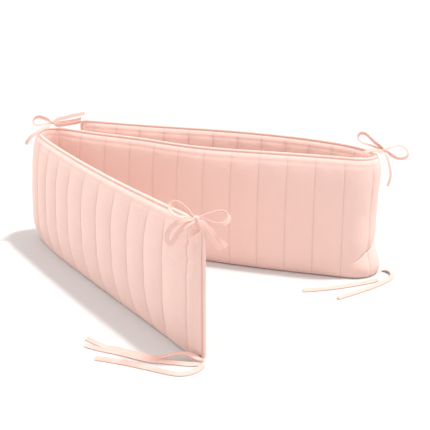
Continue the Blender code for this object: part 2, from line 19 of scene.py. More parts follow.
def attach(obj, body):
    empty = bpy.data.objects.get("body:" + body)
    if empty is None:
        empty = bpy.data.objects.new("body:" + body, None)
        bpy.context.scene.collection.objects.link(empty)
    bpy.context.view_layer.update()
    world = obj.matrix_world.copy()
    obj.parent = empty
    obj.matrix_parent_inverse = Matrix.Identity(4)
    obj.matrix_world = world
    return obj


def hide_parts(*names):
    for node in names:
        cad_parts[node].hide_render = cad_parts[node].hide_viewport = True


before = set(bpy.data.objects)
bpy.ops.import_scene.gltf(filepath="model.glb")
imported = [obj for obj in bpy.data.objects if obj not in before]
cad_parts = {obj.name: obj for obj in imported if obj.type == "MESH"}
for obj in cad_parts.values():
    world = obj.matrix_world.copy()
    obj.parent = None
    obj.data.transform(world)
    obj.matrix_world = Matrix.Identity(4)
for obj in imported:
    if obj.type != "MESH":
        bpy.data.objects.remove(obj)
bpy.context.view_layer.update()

logging.basicConfig(level=logging.INFO, format="%(message)s")
log = logging.getLogger("crib_bumper")

Point = Tuple[float, float, float]
Colour = Tuple[float, float, float]
Grid = np.ndarray

BODY = "root"
PLACE = "cloth_place"      # mesh attribute: along the cloth, across it, distance from a seam
LAYOUT_SHIFT = (0.0020, 0.0077, 0.0)   # from the layout's own origin to the middle of the part


# ---- Shader maths ----
class Signal:
    """A node's output socket, with operators that add Math nodes."""

    def __init__(self, recipe: "Recipe", socket: bpy.types.NodeSocket) -> None:
        """Wrap one output socket of the tree that a recipe builds."""
        self.recipe = recipe
        self.socket = socket

    def _with(self, operation: str, first: "Term", second: "Term" = 0.0) -> "Signal":
        """Add one Math node and return its result."""
        return self.recipe.signal("ShaderNodeMath", {"operation": operation}, {0: first, 1: second})

    def __add__(self, other: "Term") -> "Signal":
        """This plus other."""
        return self._with("ADD", self, other)

    def __radd__(self, other: "Term") -> "Signal":
        """Other plus this."""
        return self._with("ADD", other, self)

    def __sub__(self, other: "Term") -> "Signal":
        """This less other."""
        return self._with("SUBTRACT", self, other)

    def __rsub__(self, other: "Term") -> "Signal":
        """Other less this."""
        return self._with("SUBTRACT", other, self)

    def __mul__(self, other: "Term") -> "Signal":
        """This times other."""
        return self._with("MULTIPLY", self, other)

    def __rmul__(self, other: "Term") -> "Signal":
        """Other times this."""
        return self._with("MULTIPLY", other, self)

    def __lt__(self, other: "Term") -> "Signal":
        """1 where this is below other, else 0."""
        return self._with("LESS_THAN", self, other)

    def sine(self) -> "Signal":
        """The sine of this."""
        return self._with("SINE", self)

    def size(self) -> "Signal":
        """The value without its sign."""
        return self._with("ABSOLUTE", self)

    def part(self) -> "Signal":
        """What is left over from the whole number below this."""
        return self._with("FRACT", self)


Term = Union[Signal, float]


class Recipe:
    """Adds nodes to one node tree."""

    def __init__(self, tree: bpy.types.NodeTree) -> None:
        """Work on a tree."""
        self.tree = tree

    def node(self, kind: str, settings: Mapping[str, Any],
             values: Mapping[Union[int, str], Any]) -> bpy.types.Node:
        """Add a node.

        Args:
            kind: the node's type.
            settings: its properties, set first; "stops" are a ramp's positions and greys.
            values: a number, a tuple or a Signal for each named or numbered input.

        Returns:
            The new node.
        """
        made = self.tree.nodes.new(kind)
        for key, value in settings.items():
            if key == "stops":
                self._set_stops(made.color_ramp, value)
            else:
                setattr(made, key, value)
        for key, value in values.items():
            self.feed(made.inputs[key], value)
        return made

    def signal(self, kind: str, settings: Mapping[str, Any],
               values: Mapping[Union[int, str], Any], output: Union[int, str] = 0) -> Signal:
        """Add a node and return one of its outputs."""
        return Signal(self, self.node(kind, settings, values).outputs[output])

    def feed(self, socket: bpy.types.NodeSocket, value: Any) -> None:
        """Give an input socket its value.

        Args:
            socket: the input socket.
            value: a number, a tuple or a Signal to link.
        """
        if isinstance(value, Signal):
            self.tree.links.new(value.socket, socket)
        elif isinstance(value, tuple) and socket.type == "RGBA" and len(value) == 3:
            socket.default_value = (*value, 1.0)
        else:
            socket.default_value = value

    def blend(self, share: Term, low: Any, high: Any) -> Signal:
        """Mix two colours by a share from 0 to 1."""
        return self.signal("ShaderNodeMix", {"data_type": "RGBA"}, {0: share, 6: low, 7: high}, 2)

    def tint(self, colour: Any, shade: Any) -> Signal:
        """Multiply two colours."""
        return self.signal("ShaderNodeMix", {"data_type": "RGBA", "blend_type": "MULTIPLY"},
                           {0: 1.0, 6: colour, 7: shade}, 2)

    def grey(self, value: Signal) -> Signal:
        """Turn a number into a grey colour."""
        return self.signal("ShaderNodeCombineColor", {}, {0: value, 1: value, 2: value})

    def noise(self, place: Any, size: float, detail: float) -> Signal:
        """Soft noise from 0 to 1 with blots of about the given size in metres."""
        return self.signal("ShaderNodeTexNoise", {}, {
            "Vector": place, "Scale": 1.0 / size, "Detail": detail, "Roughness": 0.55})

    def bump(self, height: Signal, strength: float, distance: float, **below: Signal) -> Signal:
        """Turn a height into a normal, over the one below it if there is one."""
        return self.signal("ShaderNodeBump", {}, {
            "Strength": strength, "Distance": distance, "Height": height, **below})

    @staticmethod
    def _set_stops(ramp: bpy.types.ColorRamp, stops: Sequence[Tuple[float, float]]) -> None:
        """Set a ramp's stops.

        Args:
            ramp: the ramp.
            stops: the position and the grey of each stop.
        """
        while len(ramp.elements) > len(stops):
            ramp.elements.remove(ramp.elements[-1])
        while len(ramp.elements) < len(stops):
            ramp.elements.new(1.0)
        for element, (position, grey) in zip(ramp.elements, stops):
            element.position = position
            element.color = (grey, grey, grey, 1.0)


class Paint(Recipe):
    """Builds one material."""

    def __init__(self, name: str) -> None:
        """Start a material with its Principled shader.

        Args:
            name: the material's name.
        """
        self.material = bpy.data.materials.new(name)
        self.material.use_nodes = True
        super().__init__(self.material.node_tree)
        self.shader = self.tree.nodes["Principled BSDF"]

    def finish(self, values: Mapping[str, Any]) -> bpy.types.Material:
        """Feed the Principled shader.

        Args:
            values: a number, a tuple or a Signal for each named input.

        Returns:
            The material.
        """
        for key, value in values.items():
            self.feed(self.shader.inputs[key], value)
        return self.material


# ---- Finishes ----
class Cut(Enum):
    """How a piece of cloth is cut to its weave, in degrees."""

    STRAIGHT = 0.0
    BIAS = 45.0


@dataclass(frozen=True)
class WovenCotton:
    """Matte plain-weave cotton, with its stitched seams where it has any."""

    name: str
    colour: Colour
    cut: Cut = Cut.STRAIGHT
    thread: float = 0.00062        # from one thread to the next
    crumple: float = 0.35          # how strongly the cloth is creased from handling
    stitch: float = 0.0            # stitch length, 0 where no seam crosses the piece
    stitch_share: float = 0.78     # share of it where the thread shows, between two holes
    sewn_half: float = 0.00042     # half the thread's width
    # Painted shade: the cloth's colour is darkened in the groove beside each seam, most at the stitch line
    # itself.
    groove: float = 0.0020         # how far beside a seam the cloth is shaded
    groove_painted_shade: float = 0.13

    def _weave(self, run: Signal, rise: Signal) -> Signal:
        """Height of the threads, from 0 to 1.

        Args:
            run: distance along the cloth.
            rise: distance across the cloth.

        Returns:
            The height of the woven surface.
        """
        turn = math.radians(self.cut.value)
        straight, slanted = (math.pi / self.thread * part for part in (math.cos(turn), math.sin(turn)))
        warp = (run * straight + rise * slanted).sine()
        weft = (rise * straight - run * slanted).sine()
        return warp * weft * 0.5 + 0.5

    def material(self) -> bpy.types.Material:
        """Build the material.

        Returns:
            The finished material.
        """
        paint = Paint(self.name)
        place = paint.signal("ShaderNodeAttribute",
                             {"attribute_type": "GEOMETRY", "attribute_name": PLACE}, {}, "Vector")
        parts = paint.node("ShaderNodeSeparateXYZ", {}, {0: place})
        run, rise, away = (Signal(paint, parts.outputs[index]) for index in range(3))
        solid = paint.signal("ShaderNodeTexCoord", {}, {}, "Object")
        threads = self._weave(run, rise)
        slub = paint.signal("ShaderNodeTexNoise", {"noise_dimensions": "2D"}, {
            "Vector": paint.signal("ShaderNodeCombineXYZ", {}, {0: run * 60.0, 1: rise * 900.0}),
            "Scale": 1.0, "Detail": 2.0})
        cloud = paint.noise(solid, 0.060, 2.0)
        fleck = paint.noise(solid, 0.0035, 3.0)
        crease = paint.noise(solid, 0.016, 4.0)
        shade = (0.970 + 0.030 * threads + 0.030 * (slub - 0.5)
                 + 0.045 * (cloud - 0.5) + 0.040 * (fleck - 0.5))
        height = threads * 0.30 + slub * 0.12 + fleck * 0.25
        colour = paint.tint(self.colour, paint.grey(shade))
        rough = 0.86 + 0.08 * threads + 0.05 * (cloud - 0.5)
        if self.stitch > 0.0:
            step = (rise * (1.0 / self.stitch)).part()
            # Painted shade in the seam groove: the colour is darker close to the stitch line, where the
            # hollow would be shaded.
            groove = paint.signal("ShaderNodeMapRange", {}, {
                0: away.size(), 1: 0.0, 2: self.groove, 3: 1.0, 4: 0.0})
            colour = paint.tint(colour, paint.grey(1.0 - self.groove_painted_shade * (groove * groove)))
            line = away.size() < self.sewn_half
            shown = step < self.stitch_share
            thread_here = line * shown
            hole = line * (1.0 - shown)
            colour = paint.blend(thread_here * 0.55, colour,
                                 tuple(min(1.0, part * 1.07) for part in self.colour))
            # Painted shade in the stitch holes: the cloth is darkened where the thread goes in.
            colour = paint.blend(hole * 0.5, colour, tuple(part * 0.55 for part in self.colour))
            height = height + thread_here * 1.3 - hole * 1.6
        fine = paint.bump(height, 0.75, 0.00035)
        return paint.finish({
            "Base Color": colour, "Roughness": rough,
            "Normal": paint.bump(crease, self.crumple, 0.0018, Normal=fine),
            "Sheen Weight": 0.10, "Sheen Roughness": 0.55, "Specular IOR Level": 0.15})


@dataclass(frozen=True)
class PaleFloor:
    """A plain pale studio floor, matte and even."""

    name: str = "pale_floor"
    colour: Colour = (0.650, 0.655, 0.658)

    def material(self) -> bpy.types.Material:
        """Build the material.

        Returns:
            The finished material.
        """
        paint = Paint(self.name)
        grain = paint.signal("ShaderNodeTexNoise", {}, {"Scale": 3.0, "Detail": 2.0})
        return paint.finish({
            "Base Color": paint.tint(self.colour, paint.grey(0.995 + 0.01 * (grain - 0.5))),
            "Roughness": 0.85, "Specular IOR Level": 0.15})


PAD_COTTON = WovenCotton("quilted_cotton", (0.890, 0.640, 0.578), stitch=0.0031)
EDGE_COTTON = WovenCotton("corded_edge_cotton", (0.880, 0.635, 0.565), Cut.BIAS, crumple=0.20)
TIE_COTTON = WovenCotton("tie_cotton", (0.850, 0.572, 0.505), crumple=0.25)


# ---- Curves ----
class Line:
    """Rows of numbers along a path, read by the distance travelled along it."""

    def __init__(self, rows: Grid, axes: int) -> None:
        """Measure the path.

        Args:
            rows: samples in order; their first numbers are a place.
            axes: how many of the numbers are the place, 2 or 3.
        """
        self.rows = np.asarray(rows, dtype=float)
        self.axes = axes
        steps = np.linalg.norm(np.diff(self.rows[:, :axes], axis=0), axis=1)
        self.reach = np.concatenate(([0.0], np.cumsum(steps)))
        self.length = float(self.reach[-1])

    def at(self, along: Grid) -> Grid:
        """Rows at distances along the path, carried on straight past either end.

        Args:
            along: distances, in an array of any shape.

        Returns:
            One row for each distance.
        """
        along = np.asarray(along, dtype=float)
        index = np.clip(np.searchsorted(self.reach, along, side="right") - 1, 0, len(self.reach) - 2)
        share = (along - self.reach[index]) / (self.reach[index + 1] - self.reach[index])
        return self.rows[index] + (self.rows[index + 1] - self.rows[index]) * share[..., None]

    def heading(self, along: Grid, reach: float) -> Grid:
        """Unit directions of travel, averaged over a short stretch.

        Args:
            along: distances along the path.
            reach: half the length of the stretch.

        Returns:
            One direction for each distance.
        """
        along = np.asarray(along, dtype=float)
        step = self.at(along + reach)[..., :self.axes] - self.at(along - reach)[..., :self.axes]
        return step / np.linalg.norm(step, axis=-1, keepdims=True)


def carried_on(rows: Sequence[Sequence[float]]) -> Grid:
    """The rows with one more at each end, straight on."""
    table = np.asarray(rows, dtype=float)
    return np.vstack((2.0 * table[0] - table[1], table, 2.0 * table[-1] - table[-2]))


def smooth_rows(rows: Sequence[Sequence[float]], samples: int) -> Grid:
    """Sample a cubic B-spline that starts and ends on the end rows.

    Args:
        rows: control rows.
        samples: samples for each span.

    Returns:
        The sampled rows.
    """
    table = carried_on(rows)
    share = np.arange(samples) / samples
    rest = 1.0 - share
    weights = np.stack((rest ** 3 / 6.0,
                        (3.0 * share ** 3 - 6.0 * share ** 2 + 4.0) / 6.0,
                        (-3.0 * share ** 3 + 3.0 * share ** 2 + 3.0 * share + 1.0) / 6.0,
                        share ** 3 / 6.0), axis=1)
    spans = [weights @ table[start:start + 4] for start in range(len(table) - 3)]
    return np.vstack(spans + [table[-2][None, :]])


def through_rows(rows: Sequence[Sequence[float]], samples: Sequence[int]) -> Grid:
    """Sample a smooth curve through every row.

    Args:
        rows: the rows that it goes through.
        samples: samples for each span.

    Returns:
        The sampled rows.
    """
    table = carried_on(rows)
    spans: List[Grid] = []
    for start, count in enumerate(samples):
        a, b, c, d = table[start:start + 4]
        t = (np.arange(count) / count)[:, None]
        spans.append(0.5 * (2.0 * b + (c - a) * t + (2.0 * a - 5.0 * b + 4.0 * c - d) * t * t
                            + (3.0 * b - a - 3.0 * c + d) * t ** 3))
    return np.vstack(spans + [table[-2][None, :]])


def eased(share: Grid) -> Grid:
    """0 up to 0, 1 from 1 on, smooth between them."""
    share = np.clip(share, 0.0, 1.0)
    return share * share * (3.0 - 2.0 * share)


# ---- Meshes ----
def drift_noise(places: Grid, size: Sequence[float], seed: float) -> Grid:
    """Smooth noise from -1 to 1.

    Args:
        places: one row of two or three numbers for each point.
        size: how large the noise's blots are along each number.
        seed: a different value gives different noise.

    Returns:
        One number for each point.
    """
    scaled = places / np.asarray(size)
    if scaled.shape[1] == 2:
        scaled = np.hstack((scaled, np.zeros((len(scaled), 1))))
    return np.array([noise.noise(Vector((x + seed, y - seed, z + 0.37 * seed)))
                     for x, y, z in scaled])


def make_piece(name: str, points: Grid, faces: Sequence[Sequence[int]], place: Grid,
               material: bpy.types.Material) -> bpy.types.Object:
    """Make a smooth-shaded mesh object.

    Args:
        name: the piece's name.
        points: corners in the layout's own frame.
        faces: corner numbers of each face.
        place: for each corner, where it lies on the cloth.
        material: the finish.

    Returns:
        The object, moved into the row frame.
    """
    mesh = bpy.data.meshes.new(name)
    mesh.from_pydata((np.asarray(points) + np.asarray(LAYOUT_SHIFT)).tolist(), [], list(faces))
    attribute = mesh.attributes.new(PLACE, "FLOAT_VECTOR", "POINT")
    attribute.data.foreach_set("vector", np.asarray(place, dtype=np.float32).ravel())
    mesh.materials.append(material)
    work = bmesh.new()
    work.from_mesh(mesh)
    if work.calc_volume(signed=True) < 0.0:
        log.info("%s: turned its faces outward", name)
        bmesh.ops.reverse_faces(work, faces=work.faces[:])
        work.to_mesh(mesh)
    work.free()
    mesh.shade_smooth()
    obj = bpy.data.objects.new(name, mesh)
    bpy.context.scene.collection.objects.link(obj)
    return obj


def tube_faces(rings: int, sides: int, closed: bool) -> List[Tuple[int, ...]]:
    """Faces of a tube whose corners are numbered ring by ring.

    Args:
        rings: how many rings.
        sides: corners in each ring.
        closed: whether the last ring meets the first.

    Returns:
        The faces, with an end cap at each end of an open tube.
    """
    faces: List[Tuple[int, ...]] = []
    for ring in range(rings if closed else rings - 1):
        here = ring * sides
        there = ((ring + 1) % rings) * sides
        for index in range(sides):
            after = (index + 1) % sides
            faces.append((here + index, there + index, there + after, here + after))
    if not closed:
        faces.append(tuple(range(sides)))
        faces.append(tuple(range(rings * sides - 1, (rings - 1) * sides - 1, -1)))
    return faces


def subdivide(obj: bpy.types.Object) -> None:
    """Subdivide an object's mesh once, smoothly."""
    obj.modifiers.new("smooth", "SUBSURF").levels = 1
    keep_modifiers(obj)


def name_seed(name: str, span: int) -> float:
    """A number below span that is always the same for a name."""
    return float(sum(ord(letter) for letter in name) % span)


def keep_modifiers(obj: bpy.types.Object) -> None:
    """Replace an object's mesh by what its modifiers make of it, and remove them.

    Args:
        obj: the object.
    """
    graph = bpy.context.evaluated_depsgraph_get()
    result = bpy.data.meshes.new_from_object(
        obj.evaluated_get(graph), preserve_all_data_layers=True, depsgraph=graph)
    result.name = obj.data.name
    obj.modifiers.clear()
    obj.data = result
    obj.data.shade_smooth()


def rows_of(items: Any, key: str) -> Grid:
    """Read three numbers from each of a mesh's items.

    Args:
        items: the items, such as the mesh's corners.
        key: what the numbers are called.

    Returns:
        One row for each item.
    """
    flat = np.empty(len(items) * 3, dtype=np.float32)
    items.foreach_get(key, flat)
    return flat.reshape(-1, 3).astype(float)


def corners_of(mesh: bpy.types.Mesh) -> Grid:
    """A mesh's corners as rows."""
    return rows_of(mesh.vertices, "co")


def places_of(mesh: bpy.types.Mesh) -> Grid:
    """Where each corner lies on the cloth, as rows."""
    return rows_of(mesh.attributes[PLACE].data, "vector")


def set_corners(mesh: bpy.types.Mesh, points: Grid) -> None:
    """Move a mesh's corners."""
    mesh.vertices.foreach_set("co", np.asarray(points).ravel())
    mesh.update()


# ---- The standing band ----
class Station(NamedTuple):
    """A control point of the band's middle line, seen from above."""

    x: float
    y: float
    height: float
    lean: float


class Panel(NamedTuple):
    """The stitched seams of one section of the band, and how far the cloth has crept between them."""

    first: float
    pitch: float
    seams: int
    drift: float = 0.0
    skew: float = 0.0
    ripple: float = 0.0


class Stance(NamedTuple):
    """How a fold stands: its waist goes to the left of travel and its foot to the right."""

    along: float
    reach: float
    waist: float
    kick: float


class Creep(NamedTuple):
    """How a panel's cloth has crept along its top and its foot, which bows the seams."""

    start: float
    full: float
    fading: float
    gone: float
    top: float
    top_share: float
    foot: float
    foot_share: float


@dataclass
class StandingBand:
    """How the band stands: its middle line, height, lean and seams."""

    stations: Tuple[Station, ...] = (
        Station(.0152, -.3920, .250, .000), Station(-.0437, -.2900, .247, .003),
        Station(-.1425, -.1380, .245, .005), Station(-.2495, .0310, .246, .002),
        Station(-.3335, .1640, .249, -.004), Station(-.3785, .2395, .252, -.008),
        Station(-.3710, .2900, .253, -.003), Station(-.3190, .2960, .253, .000),
        Station(-.2575, .2520, .251, .000), Station(-.1255, .1950, .251, .002),
        Station(-.0185, .1100, .251, .003), Station(.1455, .0480, .256, .004),
        Station(.2805, .0070, .257, .003), Station(.3465, -.0080, .256, -.005),
        Station(.3690, .0390, .255, -.008), Station(.3460, .0830, .256, -.004),
        Station(.3085, .1240, .257, .000), Station(.2095, .1940, .256, .000),
        Station(.0535, .2620, .256, .002), Station(-.1125, .3010, .256, .000),
        Station(-.2855, .3770, .253, .000))
    panels: Tuple[Panel, ...] = (
        Panel(.043, .0654, 11, .019, .006, .006), Panel(.761, .0650, 2),
        Panel(.890, .0630, 11, .012), Panel(1.568, .0490, 2), Panel(1.665, .0593, 12, -.006))
    stances: Tuple[Stance, ...] = (Stance(.745, .100, .0, .0080), Stance(1.600, .065, .0095, .0100))
    creep: Creep = Creep(.070, .180, .600, .740, .024, .60, .030, .32)
    end_inset: float = 0.0100          # how much nearer to the free end its first seam is
    foot_share: float = 0.045          # the foot moves as one up to this share of the height
    foot_fade: float = 0.090
    corner_radius: float = 0.009
    edge_share: float = 0.98           # the corded edge is this far up, and then its clearance
    edge_clear: float = 0.0036         # from the corded edge's middle to the pad
    edge_low: float = 0.0037           # its height along the foot
    line: Line = field(init=False)
    seams: List[float] = field(init=False)

    def __post_init__(self) -> None:
        """Sample the middle line and place the seams."""
        self.line = Line(smooth_rows(self.stations, 60), 2)
        self.seams = [self._seam(panel, index)
                      for panel in self.panels for index in range(panel.seams)]
        self.seams[0] -= self.end_inset

    @staticmethod
    def _seam(panel: Panel, index: int) -> float:
        """Place one seam of a panel.

        Args:
            panel: the panel.
            index: the seam's number, from 0.

        Returns:
            Its distance along the band.
        """
        turn = math.pi * index / (panel.seams - 1)
        return (panel.first + panel.pitch * index + panel.drift * math.sin(turn)
                - panel.skew * math.sin(2.0 * turn) + panel.ripple * math.sin(3.0 * turn))

    @property
    def length(self) -> float:
        """Length of the band."""
        return self.line.length

    def outward(self, along: Grid) -> Grid:
        """Level directions to the left of travel."""
        ahead = self.line.heading(np.clip(along, 0.0, self.length), 0.004)
        return np.stack((-ahead[..., 1], ahead[..., 0], np.zeros(ahead.shape[:-1])), axis=-1)

    def bend(self, along: Grid) -> Grid:
        """Turn of the middle line, positive to the left.

        Args:
            along: distances along the band.

        Returns:
            Radians a metre at each distance.
        """
        reach = 0.012
        before = self.line.heading(along - reach, 0.004)
        after = self.line.heading(along + reach, 0.004)
        cross = before[..., 0] * after[..., 1] - before[..., 1] * after[..., 0]
        return np.arcsin(np.clip(cross, -1.0, 1.0)) / (2.0 * reach)

    def slant(self, along: Grid, rise: Grid) -> Grid:
        """How far the band leans to the left of travel.

        Args:
            along: distances along the band.
            rise: heights above the floor.

        Returns:
            The sideways distance of each place.
        """
        rows = self.line.at(along)
        share = rise / rows[..., 2]
        lean = rows[..., 3] * share ** 1.5
        above = np.maximum(0.0, share - self.foot_share) / self.foot_fade
        for stance in self.stances:
            near = np.exp(-((along - stance.along) / stance.reach) ** 2)
            lean = lean + near * stance.waist * np.sin(np.pi * share) ** 2
            lean = lean - near * stance.kick * np.exp(-above ** 2)
        return lean

    def place(self, along: Grid, rise: Grid, out: Grid) -> Grid:
        """Points at a distance to the left of the band's middle surface.

        Args:
            along: distances along the band.
            rise: heights above the floor.
            out: distances to the left.

        Returns:
            One point for each place.
        """
        rows = self.line.at(along)
        outward = self.outward(along)
        middle = np.stack((rows[..., 0], rows[..., 1], rise + 0.0 * along), axis=-1)
        return middle + outward * (out + self.slant(along, rise))[..., None]

    def crept(self, along: Grid, share: Grid) -> Grid:
        """Where the cloth of a seam really lies along the band.

        Args:
            along: where it would lie if the seam were upright.
            share: heights as shares of the band's height.

        Returns:
            Distances along the band.
        """
        creep = self.creep
        top = np.maximum(0.0, (share - creep.top_share) / (1.0 - creep.top_share)) ** 1.5
        foot = np.maximum(0.0, 1.0 - share / creep.foot_share) ** 1.5
        weight = (eased((along - creep.start) / (creep.full - creep.start))
                  * eased((creep.gone - along) / (creep.gone - creep.fading)))
        return along - (creep.top * top + creep.foot * foot) * weight


# ---- The quilted pad ----
class Face(Enum):
    """A face of the band, seen along the way that it runs."""

    LEFT = 1.0
    RIGHT = -1.0


class Level(NamedTuple):
    """A height on the pad's upright outline, with the steps up to the next one."""

    rise: float
    depth: float
    puffs: float
    steps: int


class Crease(NamedTuple):
    """A soft trough in one face, from one place on the cloth over a second to a third."""

    face: Face
    start: Tuple[float, float]     # along the band, height
    middle: Tuple[float, float]
    end: Tuple[float, float]
    depth: float
    width: float
    ridge: float = 0.5             # height of the roll of cloth beside it, as a share of its depth


@dataclass
class QuiltedPad:
    """The filled pad with its stitched channels."""

    band: StandingBand
    finish: WovenCotton
    half_thickness: float = 0.0215
    crown: float = 0.0034              # how far a channel stands out beyond its seams
    flat_crown: float = 0.0006         # the same where the cloth is taut, and where that is
    taut_from: float = 0.860
    taut_to: float = 1.560
    taut_fade: float = 0.050
    valley_half_width: float = 0.0034
    valley_height: float = 0.0080
    valley_step: float = 0.0008        # from the wall of the groove under the foot to the foot
    valley_flare: float = 0.0020
    end_share: float = 0.17            # thickness at either end, as a share
    end_taper: float = 0.022
    end_wall: float = 0.45             # where it is thinner than this share, the groove narrows too
    corner_lift: float = 0.004         # how much higher its foot is round a corner, at full depth
    top_slope: float = 0.006           # how far the top falls from its middle to full depth
    foot_start: float = 0.019          # from either end to where the foot is on the floor
    fold_squash: float = 0.030         # how much the inside of a bend is squashed
    beside_seam: Tuple[float, ...] = (.0, .0019, .0050, .0110)   # strips close to a seam
    mid_strips: int = 3                # strips across the rest of a channel
    stitch_depth: float = 0.0013       # how far the thread pulls the cloth in
    stitch_width: float = 0.0016
    stitch_top: float = 0.905          # the stitches end at this share of the height
    stitch_low: float = 0.004          # and start at this height
    stitch_fade: float = 0.012
    hem_drop: float = 0.0105           # from the top of the pad's edge to the line of stitches
    hem_depth: float = 0.0013
    end_hem: float = 0.0093            # from either end to the line of stitches along it
    end_hem_share: float = 0.7         # its depth, as a share of the hem's
    end_hem_width: float = 0.0014
    crease_reach: float = 0.012        # how far round a crease the cloth is cut finer
    crease_cuts: int = 3
    levels: Tuple[Level, ...] = (
        Level(.000, .230, .0, 1), Level(.000, .520, .2, 2), Level(.040, .780, .8, 2),
        Level(.125, .940, 1., 3), Level(.240, 1.00, 1., 4), Level(.420, 1.00, 1., 4),
        Level(.610, .950, 1., 4), Level(.780, .830, 1., 3), Level(.895, .640, .7, 3),
        Level(.962, .400, .1, 2), Level(.986, .120, .0, 0))
    sim_frames: int = 20
    cloth: Tuple[Tuple[str, Any], ...] = (
        ("quality", 5), ("mass", 0.15), ("tension_stiffness", 12.0),
        ("compression_stiffness", 12.0), ("shear_stiffness", 5.0), ("bending_stiffness", 0.15),
        ("shrink_min", -0.010), ("use_pressure", True), ("uniform_pressure_force", 4.0))
    kept_swell: float = 0.40           # share of the simulated swelling that is kept
    most_swell: float = 0.0030
    gather: float = 0.00045            # heights of the small unevenness of the sewn cloth
    dent: float = 0.0006
    ripple: float = 0.0002
    gather_reach: float = 0.0080       # how far from a seam the cloth is gathered
    pinch_fade: float = 0.75
    pinch_top: float = 0.6
    pinch: Crease = Crease(Face.RIGHT, (1.590, .067), (1.560, .0485), (1.530, .030), .0070, .014, .0)
    creases: Tuple[Crease, ...] = (
        Crease(Face.LEFT, (.081, .2120), (.048, .2095), (.012, .2100), .0028, .0054, .3),
        Crease(Face.LEFT, (.089, .1825), (.055, .1785), (.013, .1765), .0030, .0054, .3),
        Crease(Face.LEFT, (.098, .1630), (.060, .1590), (.025, .1560), .0030, .0056, .3),
        Crease(Face.LEFT, (.004, .2440), (.012, .2330), (.022, .2240), .0050, .0048, .3),
        Crease(Face.RIGHT, (1.606, .0680), (1.570, .0575), (1.545, .0370), .0050, .0024, .0))

    def _columns(self) -> Tuple[Grid, Grid, Grid]:
        """Place the upright strips.

        Returns:
            Distance along the band, puff from 0 to 1, and distance from the nearest seam.
        """
        borders = [0.0] + self.band.seams + [self.band.length]
        rows: List[Tuple[float, float, float]] = []
        for index, (start, end) in enumerate(zip(borders, borders[1:])):
            span = end - start
            near = [step * min(1.0, span / 0.045) for step in self.beside_seam]
            rest = np.linspace(near[-1], span - near[-1], self.mid_strips + 1)[1:-1]
            for step in near + list(rest) + [span - step for step in near[:0:-1]]:
                puff = 4.0 * (step / span) * (1.0 - step / span)
                away = min(step, span - step)
                if index == 0:
                    away = span - step
                if index == len(borders) - 2:
                    away = step
                rows.append((start + step, puff, away))
        rows.append((self.band.length, 0.0, borders[-1] - borders[-2]))
        table = np.array(rows)
        return table[:, 0], table[:, 1], table[:, 2]

    def _crown(self, along: Grid) -> Grid:
        """How far the channels stand out beyond their seams.

        Args:
            along: distances along the band.

        Returns:
            The crown at each distance.
        """
        taut = (eased((along - self.taut_from) / self.taut_fade)
                * eased((self.taut_to - along) / self.taut_fade))
        return self.crown + (self.flat_crown - self.crown) * taut

    def _outline(self) -> Tuple[Grid, Grid, Grid]:
        """The upright outline in fine steps.

        Returns:
            Shares of the height, the depth and the puff at each step.
        """
        outline = through_rows([level[:3] for level in self.levels],
                               [level.steps for level in self.levels[:-1]])
        return np.maximum(outline[:, 0], 0.0), outline[:, 1], np.clip(outline[:, 2], 0.0, 1.0)

    def _limits(self, height: Grid, from_end: Grid) -> Tuple[Grid, Grid]:
        """Keep the pad clear of the corded edge.

        Args:
            height: the band's heights.
            from_end: distances from the nearer end.

        Returns:
            The lowest and the highest rise that the pad may have.
        """
        radius = self.band.corner_radius
        inset = np.clip(radius - from_end, 0.0, radius)
        drop = radius - np.sqrt(radius ** 2 - inset ** 2)
        low = self.band.edge_low + self.band.edge_clear
        fade = np.clip((self.foot_start - from_end) / (self.foot_start - radius), 0.0, 1.0)
        floor = np.where(from_end < radius, low + drop, low * fade)
        return floor, self.levels[-1].rise * height - drop

    def _trough(self, crease: Crease, along: Grid, rise: Grid) -> Tuple[Grid, Grid, Grid]:
        """Where places lie beside a crease.

        Args:
            crease: the crease.
            along: distances along the band.
            rise: heights above the floor.

        Returns:
            Distance from its line, share of the way along it, and on which side (1 above, -1 below).
        """
        corners = through_rows((crease.start, crease.middle, crease.end), (6, 6))
        best = np.full(np.shape(along), 1.0)
        share = np.zeros(np.shape(along))
        above = np.ones(np.shape(along))
        spans = len(corners) - 1
        for index, (first, second) in enumerate(zip(corners, corners[1:])):
            run = second - first
            gap = np.stack((along - first[0], rise - first[1]), axis=-1)
            part = np.clip(gap @ run / (run @ run), 0.0, 1.0)
            off = gap - part[..., None] * run
            away = np.linalg.norm(off, axis=-1)
            nearer = away < best
            best = np.where(nearer, away, best)
            share = np.where(nearer, (index + part) / spans, share)
            above = np.where(nearer, np.where(off[..., 1] >= 0.0, 1.0, -1.0), above)
        return best, share, above

